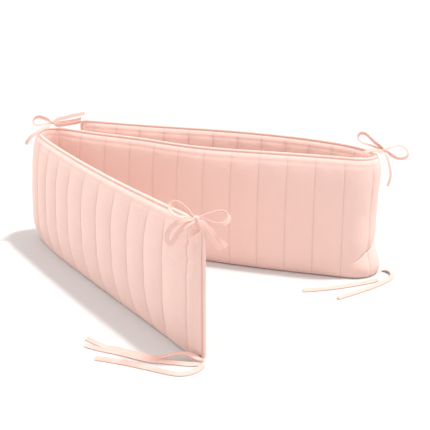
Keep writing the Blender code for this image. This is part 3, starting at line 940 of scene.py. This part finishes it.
    def _side(self, side: float, along: Grid, puff: Grid) -> Grid:
        """Work out one face's points.

        Args:
            side: 1 for the left face, -1 for the right face.
            along: the columns' distances along the band.
            puff: how far each column stands out, from 0 to 1.

        Returns:
            The points of each column, from the groove under the foot to the top.
        """
        share, depth_share, puffs = self._outline()
        here = self.band.crept(along[:, None], share[None, :])
        height = self.band.line.at(here)[..., 2]
        from_end = np.maximum(0.0, np.minimum(here, self.band.length - here))
        floor, ceiling = self._limits(height, from_end)
        end = self.end_share + (1.0 - self.end_share) * (1.0 - np.exp(-from_end / self.end_taper))
        thin = 1.0 - self._crown(here) / self.half_thickness
        wall = self.valley_half_width * np.minimum(1.0, end / self.end_wall)
        depth = (self.half_thickness * depth_share * end
                 * (1.0 - puffs * (1.0 - thin) * (1.0 - puff[:, None])))
        squashed = depth / (1.0 + self.fold_squash * np.maximum(0.0, side * self.band.bend(here)))
        lip = wall + self.valley_step + self.valley_flare * depth_share
        depth = np.where(share > 0.0, squashed, np.maximum(depth, lip))
        rise = share * height
        if side == self.pinch.face.value:
            away, way, _ = self._trough(self.pinch, here, rise)
            dent = (self.pinch.depth * (1.0 - self.pinch_fade * way)
                    * np.exp(-(away / self.pinch.width) ** 2))
            depth = depth - np.where((share > 0.0) & (share < self.pinch_top), dent, 0.0)
        cornered = np.where(from_end < self.band.corner_radius, self.corner_lift * depth_share, 0.0)
        rise = np.maximum(rise, floor + cornered)
        rise = np.minimum(rise, ceiling - self.top_slope * (depth_share - self.levels[-1].depth))
        points = self.band.place(here, rise, side * depth)
        inner = self.band.place(here[:, 0], np.maximum(self.valley_height, floor[:, 0]),
                                side * wall[:, 0])
        return np.concatenate((inner[:, None, :], points), axis=1)

    def _surface(self) -> Tuple[Grid, Grid, int]:
        """Work out every ring.

        Returns:
            Corners, their places on the cloth, and the number of corners in a ring.
        """
        along, puff, away = self._columns()
        sides: List[Grid] = []
        places: List[Grid] = []
        for face in Face:
            points = self._side(face.value, along, puff)
            shape = points.shape[:2]
            place = np.stack((np.broadcast_to(along[:, None], shape), points[..., 2],
                              np.broadcast_to(face.value * (away[:, None] + 1e-6), shape)), axis=-1)
            order = slice(None) if face is Face.LEFT else slice(None, None, -1)
            sides.append(points[:, order])
            places.append(place[:, order])
        ring = np.concatenate(sides, axis=1)
        return ring.reshape(-1, 3), np.concatenate(places, axis=1).reshape(-1, 3), ring.shape[1]

    def _faces(self, rings: int, sides: int) -> List[Tuple[int, ...]]:
        """Join up the rings, and close the two ends by matching pairs of corners.

        Args:
            rings: how many rings.
            sides: corners in each ring.

        Returns:
            The pad's faces.
        """
        faces = tube_faces(rings, sides, True)[:(rings - 1) * sides]
        for ring, turned in ((0, False), (rings - 1, True)):
            base = ring * sides
            for index in range(sides // 2 - 1):
                far = sides - 1 - index
                face = (base + index, base + index + 1, base + far - 1, base + far)
                faces.append(face[::-1] if turned else face)
        return faces

    def _free(self, places: Grid) -> Grid:
        """How freely the cloth may move.

        Args:
            places: where the corners lie on the cloth.

        Returns:
            A number for each corner, from 0 at the sewn borders to 1 out on a face.
        """
        along, rise = places[:, 0], places[:, 1]
        height = self.band.line.at(along)[:, 2]
        from_end = np.minimum(along, self.band.length - along)
        return (eased((rise - 0.004) / 0.020) * eased((0.955 * height - rise) / 0.016)
                * eased(from_end / 0.020))

    def _fill(self, obj: bpy.types.Object) -> None:
        """Let the wadding push the cloth out between its seams, as a cloth simulation.

        Args:
            obj: the pad.
        """
        places = places_of(obj.data)
        start = corners_of(obj.data)
        free = self._free(places)
        held = np.where((np.abs(places[:, 2]) < 1e-4) | (free < 0.02))[0]
        sewn = obj.vertex_groups.new(name="sewn")
        sewn.add(held.tolist(), 1.0, "REPLACE")
        filling = obj.modifiers.new("filling", "CLOTH")
        for key, value in self.cloth:
            setattr(filling.settings, key, value)
        filling.settings.vertex_group_mass = "sewn"
        filling.settings.effector_weights.gravity = 0.0
        filling.collision_settings.use_collision = False
        filling.point_cache.frame_start = 1
        filling.point_cache.frame_end = self.sim_frames
        for frame_number in range(1, self.sim_frames + 1):
            bpy.context.scene.frame_set(frame_number)
        keep_modifiers(obj)
        moved = corners_of(obj.data) - start
        size = np.maximum(1e-9, np.linalg.norm(moved, axis=1))
        most = self.most_swell * np.sqrt(self._crown(places[:, 0]) / self.crown)
        moved *= (np.minimum(self.kept_swell * size, most) / size * eased(free * 1.5))[:, None]
        set_corners(obj.data, start + moved)
        log.info("the wadding pushed the cloth out by up to %.1f mm", 1000.0 * float(size.max()))

    def _refine(self, obj: bpy.types.Object) -> None:
        """Cut the faces round the creases finer, so that the cloth can follow them.

        Args:
            obj: the pad.
        """
        mesh = obj.data
        corners = np.empty(len(mesh.loops), dtype=np.int64)
        mesh.loops.foreach_get("vertex_index", corners)
        starts = np.empty(len(mesh.polygons), dtype=np.int64)
        mesh.polygons.foreach_get("loop_start", starts)
        places = places_of(mesh)
        centres = (places[corners[starts]] + places[corners[starts + 2]]) / 2.0
        share = centres[:, 1] / self.band.line.at(centres[:, 0])[:, 2]
        here = self.band.crept(centres[:, 0], share)
        chosen = np.zeros(len(centres), dtype=bool)
        for crease in self.creases:
            away, _, _ = self._trough(crease, here, centres[:, 1])
            chosen |= (away < self.crease_reach) & (np.sign(centres[:, 2]) == crease.face.value)
        work = bmesh.new()
        work.from_mesh(mesh)
        work.faces.ensure_lookup_table()
        edges = {edge for index in np.where(chosen)[0] for edge in work.faces[index].edges}
        bmesh.ops.subdivide_edges(work, edges=sorted(edges, key=lambda edge: edge.index),
                                  cuts=self.crease_cuts, use_grid_fill=True)
        work.to_mesh(mesh)
        work.free()
        mesh.shade_smooth()

    def _sew(self, obj: bpy.types.Object) -> None:
        """Pull in the stitched lines and the creases, and leave the cloth a little uneven.

        Args:
            obj: the pad.
        """
        mesh = obj.data
        points = corners_of(mesh)
        normals = rows_of(mesh.vertex_normals, "vector")
        places = places_of(mesh)
        along, rise, away = places[:, 0], places[:, 1], np.abs(places[:, 2])
        here = self.band.crept(along, rise / self.band.line.at(along)[:, 2])
        height = self.band.line.at(here)[:, 2]
        free = self._free(places)
        gathers = drift_noise(points, (0.026, 0.026, 0.0075), 3.1)
        dents = drift_noise(points, (0.050, 0.050, 0.085), 11.7)
        ripples = drift_noise(points, (0.018, 0.018, 0.022), 23.9)
        near = np.exp(-away / self.gather_reach)
        push = free * (self.gather * gathers * near + self.dent * dents * (1.0 - near)
                       + self.ripple * ripples * (1.0 - 0.5 * near))
        stitched = (eased((self.stitch_top * height - rise) / self.stitch_fade)
                    * eased((rise - self.stitch_low) / self.stitch_fade))
        pulled = np.sqrt(self._crown(here) / self.crown)
        push -= self.stitch_depth * pulled * stitched * np.exp(-(away / self.stitch_width) ** 2)
        drop = self.band.edge_share * height - rise
        from_end = np.minimum(along, self.band.length - along)
        push -= (self.hem_depth * np.exp(-((drop - self.hem_drop) / self.stitch_width) ** 2)
                 * eased(from_end / 0.010))
        push -= (self.end_hem_share * self.hem_depth * stitched
                 * np.exp(-((from_end - self.end_hem) / self.end_hem_width) ** 2))
        for crease in self.creases:
            gone, way, above = self._trough(crease, here, rise)
            taper = np.sin(np.pi * np.clip(0.12 + 0.80 * way, 0.0, 1.0))
            roll = crease.ridge * np.exp(-((gone - 2.0 * crease.width) / crease.width) ** 2)
            cut = np.exp(-(gone / crease.width) ** 2) - np.where(above < 0.0, roll, 0.0)
            push -= np.where(np.sign(places[:, 2]) == crease.face.value,
                             crease.depth * taper * cut, 0.0)
        set_corners(mesh, points + normals * push[:, None])

    def build(self) -> bpy.types.Object:
        """Returns:
            The pad.
        """
        points, places, sides = self._surface()
        faces = self._faces(len(points) // sides, sides)
        obj = make_piece("quilted_pad", points, faces, places, self.finish.material())
        self._fill(obj)
        subdivide(obj)
        self._refine(obj)
        self._sew(obj)
        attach(obj, BODY)
        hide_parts("pad")
        return obj


@dataclass
class CordedEdge:
    """The piping that is sewn into the seam all the way round the band."""

    band: StandingBand
    finish: WovenCotton
    radius: float = 0.0031
    step: float = 0.0045
    sides: int = 12

    def _path(self) -> Tuple[Grid, Grid]:
        """The corded edge's middle line.

        Returns:
            Its points, and the band's sideways direction at each.
        """
        band = self.band
        radius, clear, low = band.corner_radius, band.edge_clear, band.edge_low
        bend = radius + clear
        turns = np.radians(11.25 * np.arange(1, 8))
        out, fall = np.sin(turns), 1.0 - np.cos(turns)
        stops = np.linspace(radius, band.length - radius, int((band.length - 2.0 * radius) / self.step))

        def top(along: Grid) -> Grid:
            """Its height along the top."""
            return band.line.at(along)[..., 2] * band.edge_share + clear

        runs: List[Tuple[Grid, Grid]] = [(stops, top(stops))]
        for end, away in ((band.length, 1.0), (0.0, -1.0)):
            high = float(top(np.asarray(end - away * radius)))
            round_along = end - away * (radius - bend * out)
            span = high - low - 2.0 * bend
            side = np.linspace(0.0, 1.0, int(span / self.step))
            down = (np.concatenate((round_along, np.full(len(side), end + away * clear),
                                    round_along[::-1])),
                    np.concatenate((high - bend * fall, high - bend - span * side,
                                    (low + bend * fall)[::-1])))
            if away > 0.0:
                runs.append(down)
                runs.append((stops[::-1], np.full(len(stops), low)))
            else:
                runs.append((down[0][::-1], down[1][::-1]))
        along = np.concatenate([run[0] for run in runs])
        rise = np.concatenate([run[1] for run in runs])
        return band.place(along, rise, 0.0 * rise), band.outward(along)

    def build(self) -> bpy.types.Object:
        """Make the corded edge.

        Returns:
            The corded edge.
        """
        path, across = self._path()
        ahead = np.roll(path, -1, axis=0) - np.roll(path, 1, axis=0)
        ahead /= np.linalg.norm(ahead, axis=1)[:, None]
        across = across - ahead * np.sum(across * ahead, axis=1)[:, None]
        across /= np.linalg.norm(across, axis=1)[:, None]
        lift = np.cross(across, ahead)
        reach = np.concatenate(([0.0], np.cumsum(np.linalg.norm(np.diff(path, axis=0), axis=1))))
        # Starts the ring underneath, where it lies in the seam
        angles = 2.0 * np.pi * (np.arange(self.sides) + 0.5) / self.sides + 0.5 * np.pi
        rows = np.stack((reach, 0.0 * reach), axis=1)
        swell = 1.0 + 0.05 * drift_noise(rows, (0.012, 1.0), 5.3) + 0.03 * drift_noise(
            rows, (0.045, 1.0), 9.1)
        ring = (across[:, None, :] * np.cos(angles)[None, :, None]
                + lift[:, None, :] * np.sin(angles)[None, :, None])
        points = path[:, None, :] + ring * (self.radius * swell)[:, None, None]
        place = np.stack((np.broadcast_to(reach[:, None], points.shape[:2]),
                          np.broadcast_to((angles * self.radius)[None, :], points.shape[:2]),
                          np.full(points.shape[:2], 0.02)), axis=-1)
        obj = make_piece("corded_edge", points.reshape(-1, 3),
                         tube_faces(len(path), self.sides, True), place.reshape(-1, 3),
                         self.finish.material())
        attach(obj, BODY)
        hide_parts("piping")
        return obj


# ---- The ties ----
class FarEnd(Enum):
    """What a tie's far end is."""

    BARE = "bare"
    OBJECT = "object"


class Lay(Enum):
    """How a tie lies."""

    LOOSE = "loose"
    HANGING = "hanging"


@dataclass
class TieTape:
    """One strip of tie tape on its route."""

    name: str
    route: Tuple[Point, ...]
    across: Optional[Point] = None     # the width's direction at the start, or square to its loop
    twist: float = 0.0                 # degrees turned about its own line by the end
    far_end: FarEnd = FarEnd.BARE
    lay: Lay = Lay.LOOSE
    tilt: float = 0.0                  # degrees that it is tipped up on one edge, where it lies
    width: float = 0.0085
    thickness: float = 0.0018
    pinch_length: float = 0.012        # it is gathered this far where it is tied or sewn
    pinch_share: float = 0.42
    cut_end: float = 0.0012
    cut_share: float = 0.86            # width at the very end, as a share
    gathered_fold: float = 0.0007      # height of the small folds where it is gathered
    waver_turn: float = 4.0            # small unevenness: degrees about its own line
    waver_width: float = 0.035         # a share of its width
    waver_lift: float = 0.00035        # and a height
    samples: int = 12                  # samples of the route between two of its points
    step: float = 0.0022
    floor_clear: float = 0.0002        # height of its lowest corners on the floor
    knot_reach: float = 0.020          # an end nearer than this to the knot goes into it
    tucked: float = 0.35               # share of the way from the knot's middle where it stops
    section: Tuple[Tuple[float, float], ...] = (
        (-.500, .00), (-.485, .34), (-.430, .50), (-.350, .34), (-.240, .44), (.000, .47),
        (.240, .44), (.350, .34), (.430, .50), (.485, .34), (.500, .00), (.485, -.34),
        (.430, -.50), (.350, -.38), (.000, -.44), (-.350, -.38), (-.430, -.50), (-.485, -.34))

    def _plane(self) -> Grid:
        """Find how the plane of a loop lies.

        Returns:
            The unit direction square to it.
        """
        route = np.array(self.route)
        total = np.cross(route, np.roll(route, -1, axis=0)).sum(axis=0)
        return total / np.linalg.norm(total)

    def line(self, knot: Optional[Point]) -> Line:
        """The middle line of the tape.

        Args:
            knot: middle of the knot that an end beside it is drawn into.

        Returns:
            The line.
        """
        route = np.array(self.route)
        if knot is not None:
            middle = np.array(knot)
            ends = [np.linalg.norm(end - middle) < self.knot_reach for end in (route[0], route[-1])]
            inside = middle + self.tucked * (route - middle)
            route = np.vstack([inside[:1]] * int(ends[0]) + [route] + [inside[-1:]] * int(ends[1]))
        return Line(through_rows(route, [self.samples] * (len(route) - 1)), 3)

    def _ring(self, line: Line, along: float, across: Grid) -> Grid:
        """The corners of one ring of the strip.

        Args:
            line: its middle line.
            along: distance along that line.
            across: the width's direction before the tape turns.

        Returns:
            The corners, in the order of its section.
        """
        seed = name_seed(self.name, 97)

        def drift(size: float, row: float) -> float:
            """Smooth noise along this tape."""
            return noise.noise(Vector((along / size, seed, row)))

        left = line.length - along
        looped = self.across is None
        ahead = line.heading(along, 0.002)
        turned = (self.twist * along / line.length + self.tilt * (0.8 + 0.4 * drift(0.035, 5.0))
                  + self.waver_turn * drift(0.022, 0.0))
        wide = np.array(Matrix.Rotation(math.radians(turned), 3, Vector(ahead)) @ Vector(across))
        tied = min(along, left) if looped else along
        gather = min(1.0, self.pinch_share + (1.0 - self.pinch_share) * tied / self.pinch_length)
        whole = 1.0 if looped else min(1.0, max(0.0, left) / self.cut_end)
        end = self.cut_share + (1.0 - self.cut_share) * whole
        outline = np.array(self.section)
        half = self.width * gather * end * (1.0 + self.waver_width * drift(0.010, 7.0))
        deep = self.thickness * (1.0 + 0.5 * (1.0 - gather)) * end
        fold = self.gathered_fold * (1.0 - gather) * np.cos(outline[:, :1] * 9.0)
        lift = outline[:, 1:] * deep + fold + self.waver_lift * drift(0.013, 3.0)
        ring = line.at(along) + wide * (outline[:, :1] * half) + np.cross(ahead, wide) * lift
        ring[:, 2] += max(0.0, self.floor_clear - float(ring[:, 2].min()))
        return ring

    def build(self, material: bpy.types.Material, knot: Optional[Point],
              with_pieces: Sequence[bpy.types.Object] = ()) -> bpy.types.Object:
        """Args:
            material: its finish.
            knot: middle of its bow's knot, if it has one.
            with_pieces: separate pieces that are on it; not used.

        Returns:
            The strip.
        """
        line = self.line(knot)
        count = max(8, round(line.length / self.step))
        across = self._plane() if self.across is None else np.array(self.across, dtype=float)
        sides = len(self.section)
        widths = np.array(self.section)[:, 0] * self.width
        rings: List[Grid] = []
        places: List[Grid] = []
        for along in line.length * np.arange(count + 1) / count:
            ahead = line.heading(along, 0.002)
            across = across - ahead * float(across @ ahead)
            across = across / np.linalg.norm(across)
            rings.append(self._ring(line, float(along), across))
            places.append(np.stack((np.full(sides, along), widths, np.full(sides, 0.02)), axis=1))
            line.at(along) + np.array(LAYOUT_SHIFT)
        obj = make_piece(self.name + "_tape", np.vstack(rings), tube_faces(count + 1, sides, False),
                         np.vstack(places), material)
        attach(obj, BODY)
        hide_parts(self.name)
        if line.length >= 6.0 * self.width:
            line.length
        return obj


@dataclass
class TieKnot:
    """The small wrapped lump of a tied bow."""

    name: str
    middle: Point
    half_length: float
    half_depth: float
    half_height: float
    wraps: int = 2
    rings: int = 22
    sides: int = 20
    cut_off: float = 0.04              # share of the lump that is left off at either end
    bluntness: float = 0.72            # below 1 its ends are blunter than a ball's
    groove: float = 0.93               # thickness between two wraps, as a share
    wrap_height: float = 0.10
    lump_height: float = 0.09
    wrap_lean: float = 0.16            # how far the wraps are slanted

    def build(self, material: bpy.types.Material) -> bpy.types.Object:
        """Make the knot: a gathered core with tape wrapped over it.

        Args:
            material: its finish.

        Returns:
            The knot.
        """
        seed = name_seed(self.name, 89)
        rows: List[Grid] = []
        places: List[Grid] = []
        for ring in range(self.rings + 1):
            share = ring / self.rings
            polar = math.pi * (self.cut_off + (1.0 - 2.0 * self.cut_off) * share)
            spread = math.sin(polar) ** self.bluntness
            turned = math.pi * self.wraps * (share - 0.08)
            wrap = self.groove + self.wrap_height * abs(math.cos(turned))
            for side in range(self.sides):
                angle = 2.0 * math.pi * side / self.sides
                drift = noise.noise(Vector((3.0 * share, 1.6 * math.cos(angle), seed)))
                size = spread * wrap * (1.0 + self.lump_height * drift)
                lean = self.wrap_lean * math.sin(angle)
                rows.append(np.array((
                    self.middle[0] - (math.cos(polar) + lean * spread) * self.half_length * 0.97,
                    self.middle[1] + math.cos(angle) * size * self.half_depth,
                    self.middle[2] + math.sin(angle) * size * self.half_height)))
                places.append(np.array((angle * self.half_height, share * 2.0 * self.half_length,
                                        0.02)))
        obj = make_piece(self.name + "_wrapped", np.vstack(rows),
                         tube_faces(self.rings + 1, self.sides, False), np.vstack(places), material)
        subdivide(obj)
        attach(obj, BODY)
        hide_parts(self.name)
        return obj


@dataclass
class TieSet:
    """All the ties of the band: three bows and the ties that lie on the floor."""

    finish: WovenCotton
    knots: Tuple[TieKnot, ...] = (
        TieKnot("knot_a", (.0050, -.3895, .2570), .0062, .0050, .0046),
        TieKnot("knot_b", (-.3380, .2580, .2740), .0060, .0050, .0048),
        TieKnot("knot_c", (.3850, .0380, .2640), .0058, .0048, .0046))
    tapes: Tuple[TieTape, ...] = (
        TieTape("bow_a_left_loop", (
            (-.0035, -.387, .262), (-.012, -.381, .269), (-.021, -.375, .2755), (-.03, -.37, .278),
            (-.0375, -.371, .2745), (-.039, -.378, .268), (-.033, -.385, .263), (-.024, -.389, .26),
            (-.014, -.391, .259), (-.0035, -.391, .2582)), None, 12.0, FarEnd.OBJECT, tilt=38.0),
        TieTape("bow_a_right_loop", (
            (.0135, -.387, .2605), (.023, -.38, .262), (.034, -.374, .264), (.045, -.37, .264),
            (.054, -.372, .2615), (.0585, -.379, .257), (.0565, -.387, .2515), (.049, -.393, .248),
            (.039, -.395, .2475), (.03, -.395, .2495), (.0215, -.394, .253), (.0135, -.392, .2565)),
            None, 10.0, FarEnd.OBJECT, tilt=34.0),
        TieTape("bow_a_low_loop", (
            (-.0035, -.3955, .2575), (-.013, -.401, .259), (-.025, -.403, .255), (-.036, -.398, .245),
            (-.043, -.39, .231), (-.0445, -.385, .217), (-.039, -.387, .212), (-.0325, -.393, .22),
            (-.027, -.3985, .232), (-.019, -.402, .243), (-.008, -.4, .251)),
            (.1, .6, .8), -45.0, FarEnd.OBJECT, Lay.HANGING),
        TieTape("bow_a_front_tail", (
            (.0105, -.3985, .2535), (.016, -.402, .246), (.024, -.402, .233), (.033, -.4, .2205),
            (.045, -.397, .2035)), (.8, .1, .6), 20.0, FarEnd.BARE, Lay.HANGING),
        TieTape("bow_a_back_tail", (
            (.015, -.3965, .253), (.022, -.3985, .245), (.031, -.3975, .2345), (.042, -.393, .22),
            (.055, -.388, .2055)), (.9, .1, .5), 0.0, FarEnd.BARE, Lay.HANGING),
        TieTape("bow_b_loop", (
            (-.3455, .261, .2775), (-.356, .258, .2835), (-.366, .251, .288), (-.373, .243, .287),
            (-.3765, .237, .281), (-.374, .236, .2745), (-.366, .241, .2715), (-.356, .249, .2715),
            (-.346, .255, .2725)), None, -20.0, FarEnd.OBJECT, tilt=52.0),
        TieTape("bow_b_strap", (
            (-.344, .249, .268), (-.354, .238, .264), (-.366, .229, .257), (-.382, .223, .247),
            (-.3935, .221, .231)), (.0, .8, .6), -25.0, FarEnd.BARE, Lay.HANGING),
        TieTape("bow_b_back_tail", (
            (-.331, .268, .2765), (-.3235, .285, .2765), (-.3135, .308, .274), (-.302, .333, .273),
            (-.291, .356, .271), (-.28, .379, .269)), (.0, .2, 1.), 0.0),
        TieTape("bow_b_middle_tail", (
            (-.329, .264, .27), (-.319, .286, .2672), (-.307, .312, .2638), (-.296, .337, .2613),
            (-.2865, .36, .26)), (.1, .3, 1.), 10.0),
        TieTape("bow_b_front_tail", (
            (-.329, .257, .2675), (-.319, .274, .2635), (-.307, .297, .2605), (-.295, .32, .2583),
            (-.284, .342, .2565)), (.1, .4, .9), 12.0),
        TieTape("bow_c_strap", (
            (.378, .03, .261), (.367, .024, .267), (.356, .02, .2685), (.346, .0165, .266),
            (.3395, .0145, .262)), (.2, .6, .7), 30.0, FarEnd.OBJECT),
        TieTape("bow_c_left_loop", (
            (.3785, .037, .2705), (.366, .037, .279), (.356, .04, .288), (.347, .045, .2955),
            (.339, .048, .2975), (.332, .047, .294), (.3305, .043, .287), (.336, .039, .281),
            (.345, .038, .277), (.356, .038, .2735), (.3775, .0375, .267)),
            None, 10.0, FarEnd.OBJECT, tilt=42.0),
        TieTape("bow_c_right_loop", (
            (.3925, .041, .2665), (.401, .045, .2685), (.412, .049, .27), (.423, .05, .2695),
            (.432, .046, .264), (.435, .04, .256), (.43, .034, .2495), (.418, .03, .2475),
            (.406, .03, .2505), (.398, .033, .2555), (.392, .0355, .2605)),
            None, -34.0, FarEnd.OBJECT, tilt=66.0),
        TieTape("bow_c_tail", (
            (.387, .032, .258), (.39, .026, .25), (.394, .024, .237), (.398, .024, .22), (.398, .025, .206),
            (.394, .026, .19)), (.4, .9, .1), 12.0, FarEnd.BARE, Lay.HANGING),
        TieTape("bottom_tie_a_arched", (
            (.0145, -.402, .0065), (.006, -.401, .0095), (-.004, -.396, .0125), (-.014, -.39, .0125),
            (-.025, -.387, .0115), (-.037, -.387, .01), (-.05, -.388, .007), (-.066, -.386, .0034),
            (-.083, -.379, .0014), (-.1, -.371, .0014), (-.118, -.3605, .0014), (-.137, -.351, .0014),
            (-.157, -.342, .0014), (-.176, -.328, .0014), (-.197, -.308, .0014)),
            (.1, 1., .1), tilt=-35.0),
        TieTape("bottom_tie_a_flat", (
            (.0125, -.407, .0018), (.003, -.409, .0014), (-.01, -.409, .0014), (-.028, -.4055, .0014),
            (-.049, -.401, .0014), (-.072, -.397, .0014), (-.094, -.388, .0014), (-.117, -.3755, .0014),
            (-.139, -.3645, .0014), (-.159, -.356, .0014), (-.177, -.347, .0014), (-.196, -.335, .0014)),
            (.5, .9, .0), tilt=-38.0),
        TieTape("bottom_tie_a_front", (
            (.0165, -.412, .0016), (.011, -.422, .0014), (.003, -.433, .0014), (-.01, -.442, .0014),
            (-.03, -.444, .0014), (-.055, -.4345, .0014), (-.08, -.422, .0014), (-.105, -.411, .0014),
            (-.131, -.4005, .0014), (-.157, -.3915, .0014), (-.172, -.387, .0014)),
            (.8, .6, .0), tilt=-42.0),
        TieTape("bottom_tie_c_long", (
            (.392, .024, .0016), (.401, .02, .0014), (.4075, .01, .0014), (.408, -.004, .0014),
            (.403, -.018, .0014), (.394, -.032, .0014), (.378, -.049, .0014), (.352, -.072, .0014),
            (.319, -.097, .0014), (.297, -.113, .0014), (.279, -.126, .0014)),
            (.5, .9, .0), tilt=-36.0),
        TieTape("bottom_tie_c_short", (
            (.375, -.029, .0016), (.36, -.039, .0014), (.338, -.049, .0014), (.31, -.061, .0014),
            (.286, -.07, .0014), (.262, -.077, .0014), (.236, -.083, .0014), (.213, -.087, .0014)),
            (.5, .9, .0), tilt=-36.0))

    def build(self) -> List[bpy.types.Object]:
        """Make every knot and tape.

        Returns:
            The pieces.
        """
        material = self.finish.material()
        made: Dict[str, bpy.types.Object] = {}
        for knot in self.knots:
            made[knot.name] = knot.build(material)
        middles = {knot.name.replace("knot", "bow"): knot.middle for knot in self.knots}
        for tape in self.tapes:
            on_it = [made["bow_c_strap"]] if tape.name == "bow_c_left_loop" else []
            made[tape.name] = tape.build(material, middles.get(tape.name[:5]), on_it)
        return list(made.values())


# ---- The studio ----
@dataclass(frozen=True)
class HighLight:
    """One soft studio light, far enough away to light the whole floor evenly."""

    name: str
    towards: Point                # from the part towards the light
    power: float
    spread: float                 # degrees that it covers, seen from the part

    def build(self) -> None:
        """Make the light."""
        light = bpy.data.lights.new(self.name, "SUN")
        light.energy = self.power
        light.angle = math.radians(self.spread)
        obj = bpy.data.objects.new(self.name, light)
        obj.rotation_euler = Vector(self.towards).to_track_quat("Z", "Y").to_euler()
        bpy.context.scene.collection.objects.link(obj)


@dataclass(frozen=True)
class StudioWalls:
    """The pale studio all round, with its own brightness overhead and level with the part."""

    overhead: float = 0.98
    level: float = 0.62
    colour: Colour = (1.0, 0.935, 0.905)

    def build(self) -> bpy.types.World:
        """Make the surroundings.

        Returns:
            The world.
        """
        world = bpy.data.worlds.new("studio_walls")
        world.use_nodes = True
        recipe = Recipe(world.node_tree)
        way = recipe.signal("ShaderNodeTexCoord", {}, {}, "Generated")
        parts = recipe.node("ShaderNodeSeparateXYZ", {}, {0: way})
        low = 1.0 - Signal(recipe, parts.outputs[2]).size()
        glow = self.overhead + (self.level - self.overhead) * (low * low)
        shell = world.node_tree.nodes["Background"]
        recipe.feed(shell.inputs["Color"], self.colour)
        recipe.feed(shell.inputs["Strength"], glow)
        return world


@dataclass
class Studio:
    """Camera, floor and lights."""

    camera_place: Point = (0.0370, -1.8223, 0.7350)
    camera_pitch: float = 18.157       # degrees below level
    lens: float = 77.86
    floor_half: float = 14.0
    floor_gap: float = 0.0004
    lights: Tuple[HighLight, ...] = (
        HighLight("right_light", (0.335, 0.025, 1.0), 2.45, 5.0),
        HighLight("left_light", (-0.55, 0.10, 1.0), 0.28, 12.0),
        HighLight("opening_light", (0.75, -0.60, 0.45), 0.22, 30.0),
        HighLight("low_light", (-0.70, 0.68, 0.20), 1.10, 15.0))
    walls: StudioWalls = StudioWalls()

    def aim_camera(self) -> None:
        """Make the camera at the photograph's angle."""
        data = bpy.data.cameras.new("camera")
        data.sensor_width = 36.0
        data.lens = self.lens
        data.clip_end = 60.0
        camera = bpy.data.objects.new("camera", data)
        camera.location = self.camera_place
        camera.rotation_euler = (math.radians(90.0 - self.camera_pitch), 0.0, 0.0)
        bpy.context.scene.collection.objects.link(camera)
        bpy.context.scene.camera = camera

    def build(self) -> None:
        """Make the floor, the lights and the plain surroundings."""
        scene = bpy.context.scene
        scene.view_settings.view_transform = "Standard"
        scene.world = self.walls.build()
        half, low = self.floor_half, -self.floor_gap
        mesh = bpy.data.meshes.new("studio_floor")
        mesh.from_pydata([(-half, -half, low), (half, -half, low), (half, half, low),
                          (-half, half, low)], [], [(0, 1, 2, 3)])
        mesh.materials.append(PaleFloor().material())
        floor = bpy.data.objects.new("studio_floor", mesh)
        scene.collection.objects.link(floor)
        for light in self.lights:
            light.build()


def report(piece: bpy.types.Object) -> None:
    """Log a piece's size."""
    mesh = piece.data
    log.info("%s: %d corners, %d faces", piece.name, len(mesh.vertices), len(mesh.polygons))


def main() -> None:
    """Build the studio and every piece, in order."""
    studio = Studio()
    studio.aim_camera()
    for piece in TieSet(TIE_COTTON).build():
        report(piece)
    band = StandingBand()
    report(QuiltedPad(band, PAD_COTTON).build())
    report(CordedEdge(band, EDGE_COTTON).build())
    studio.build()


if __name__ == "__main__":
    main()
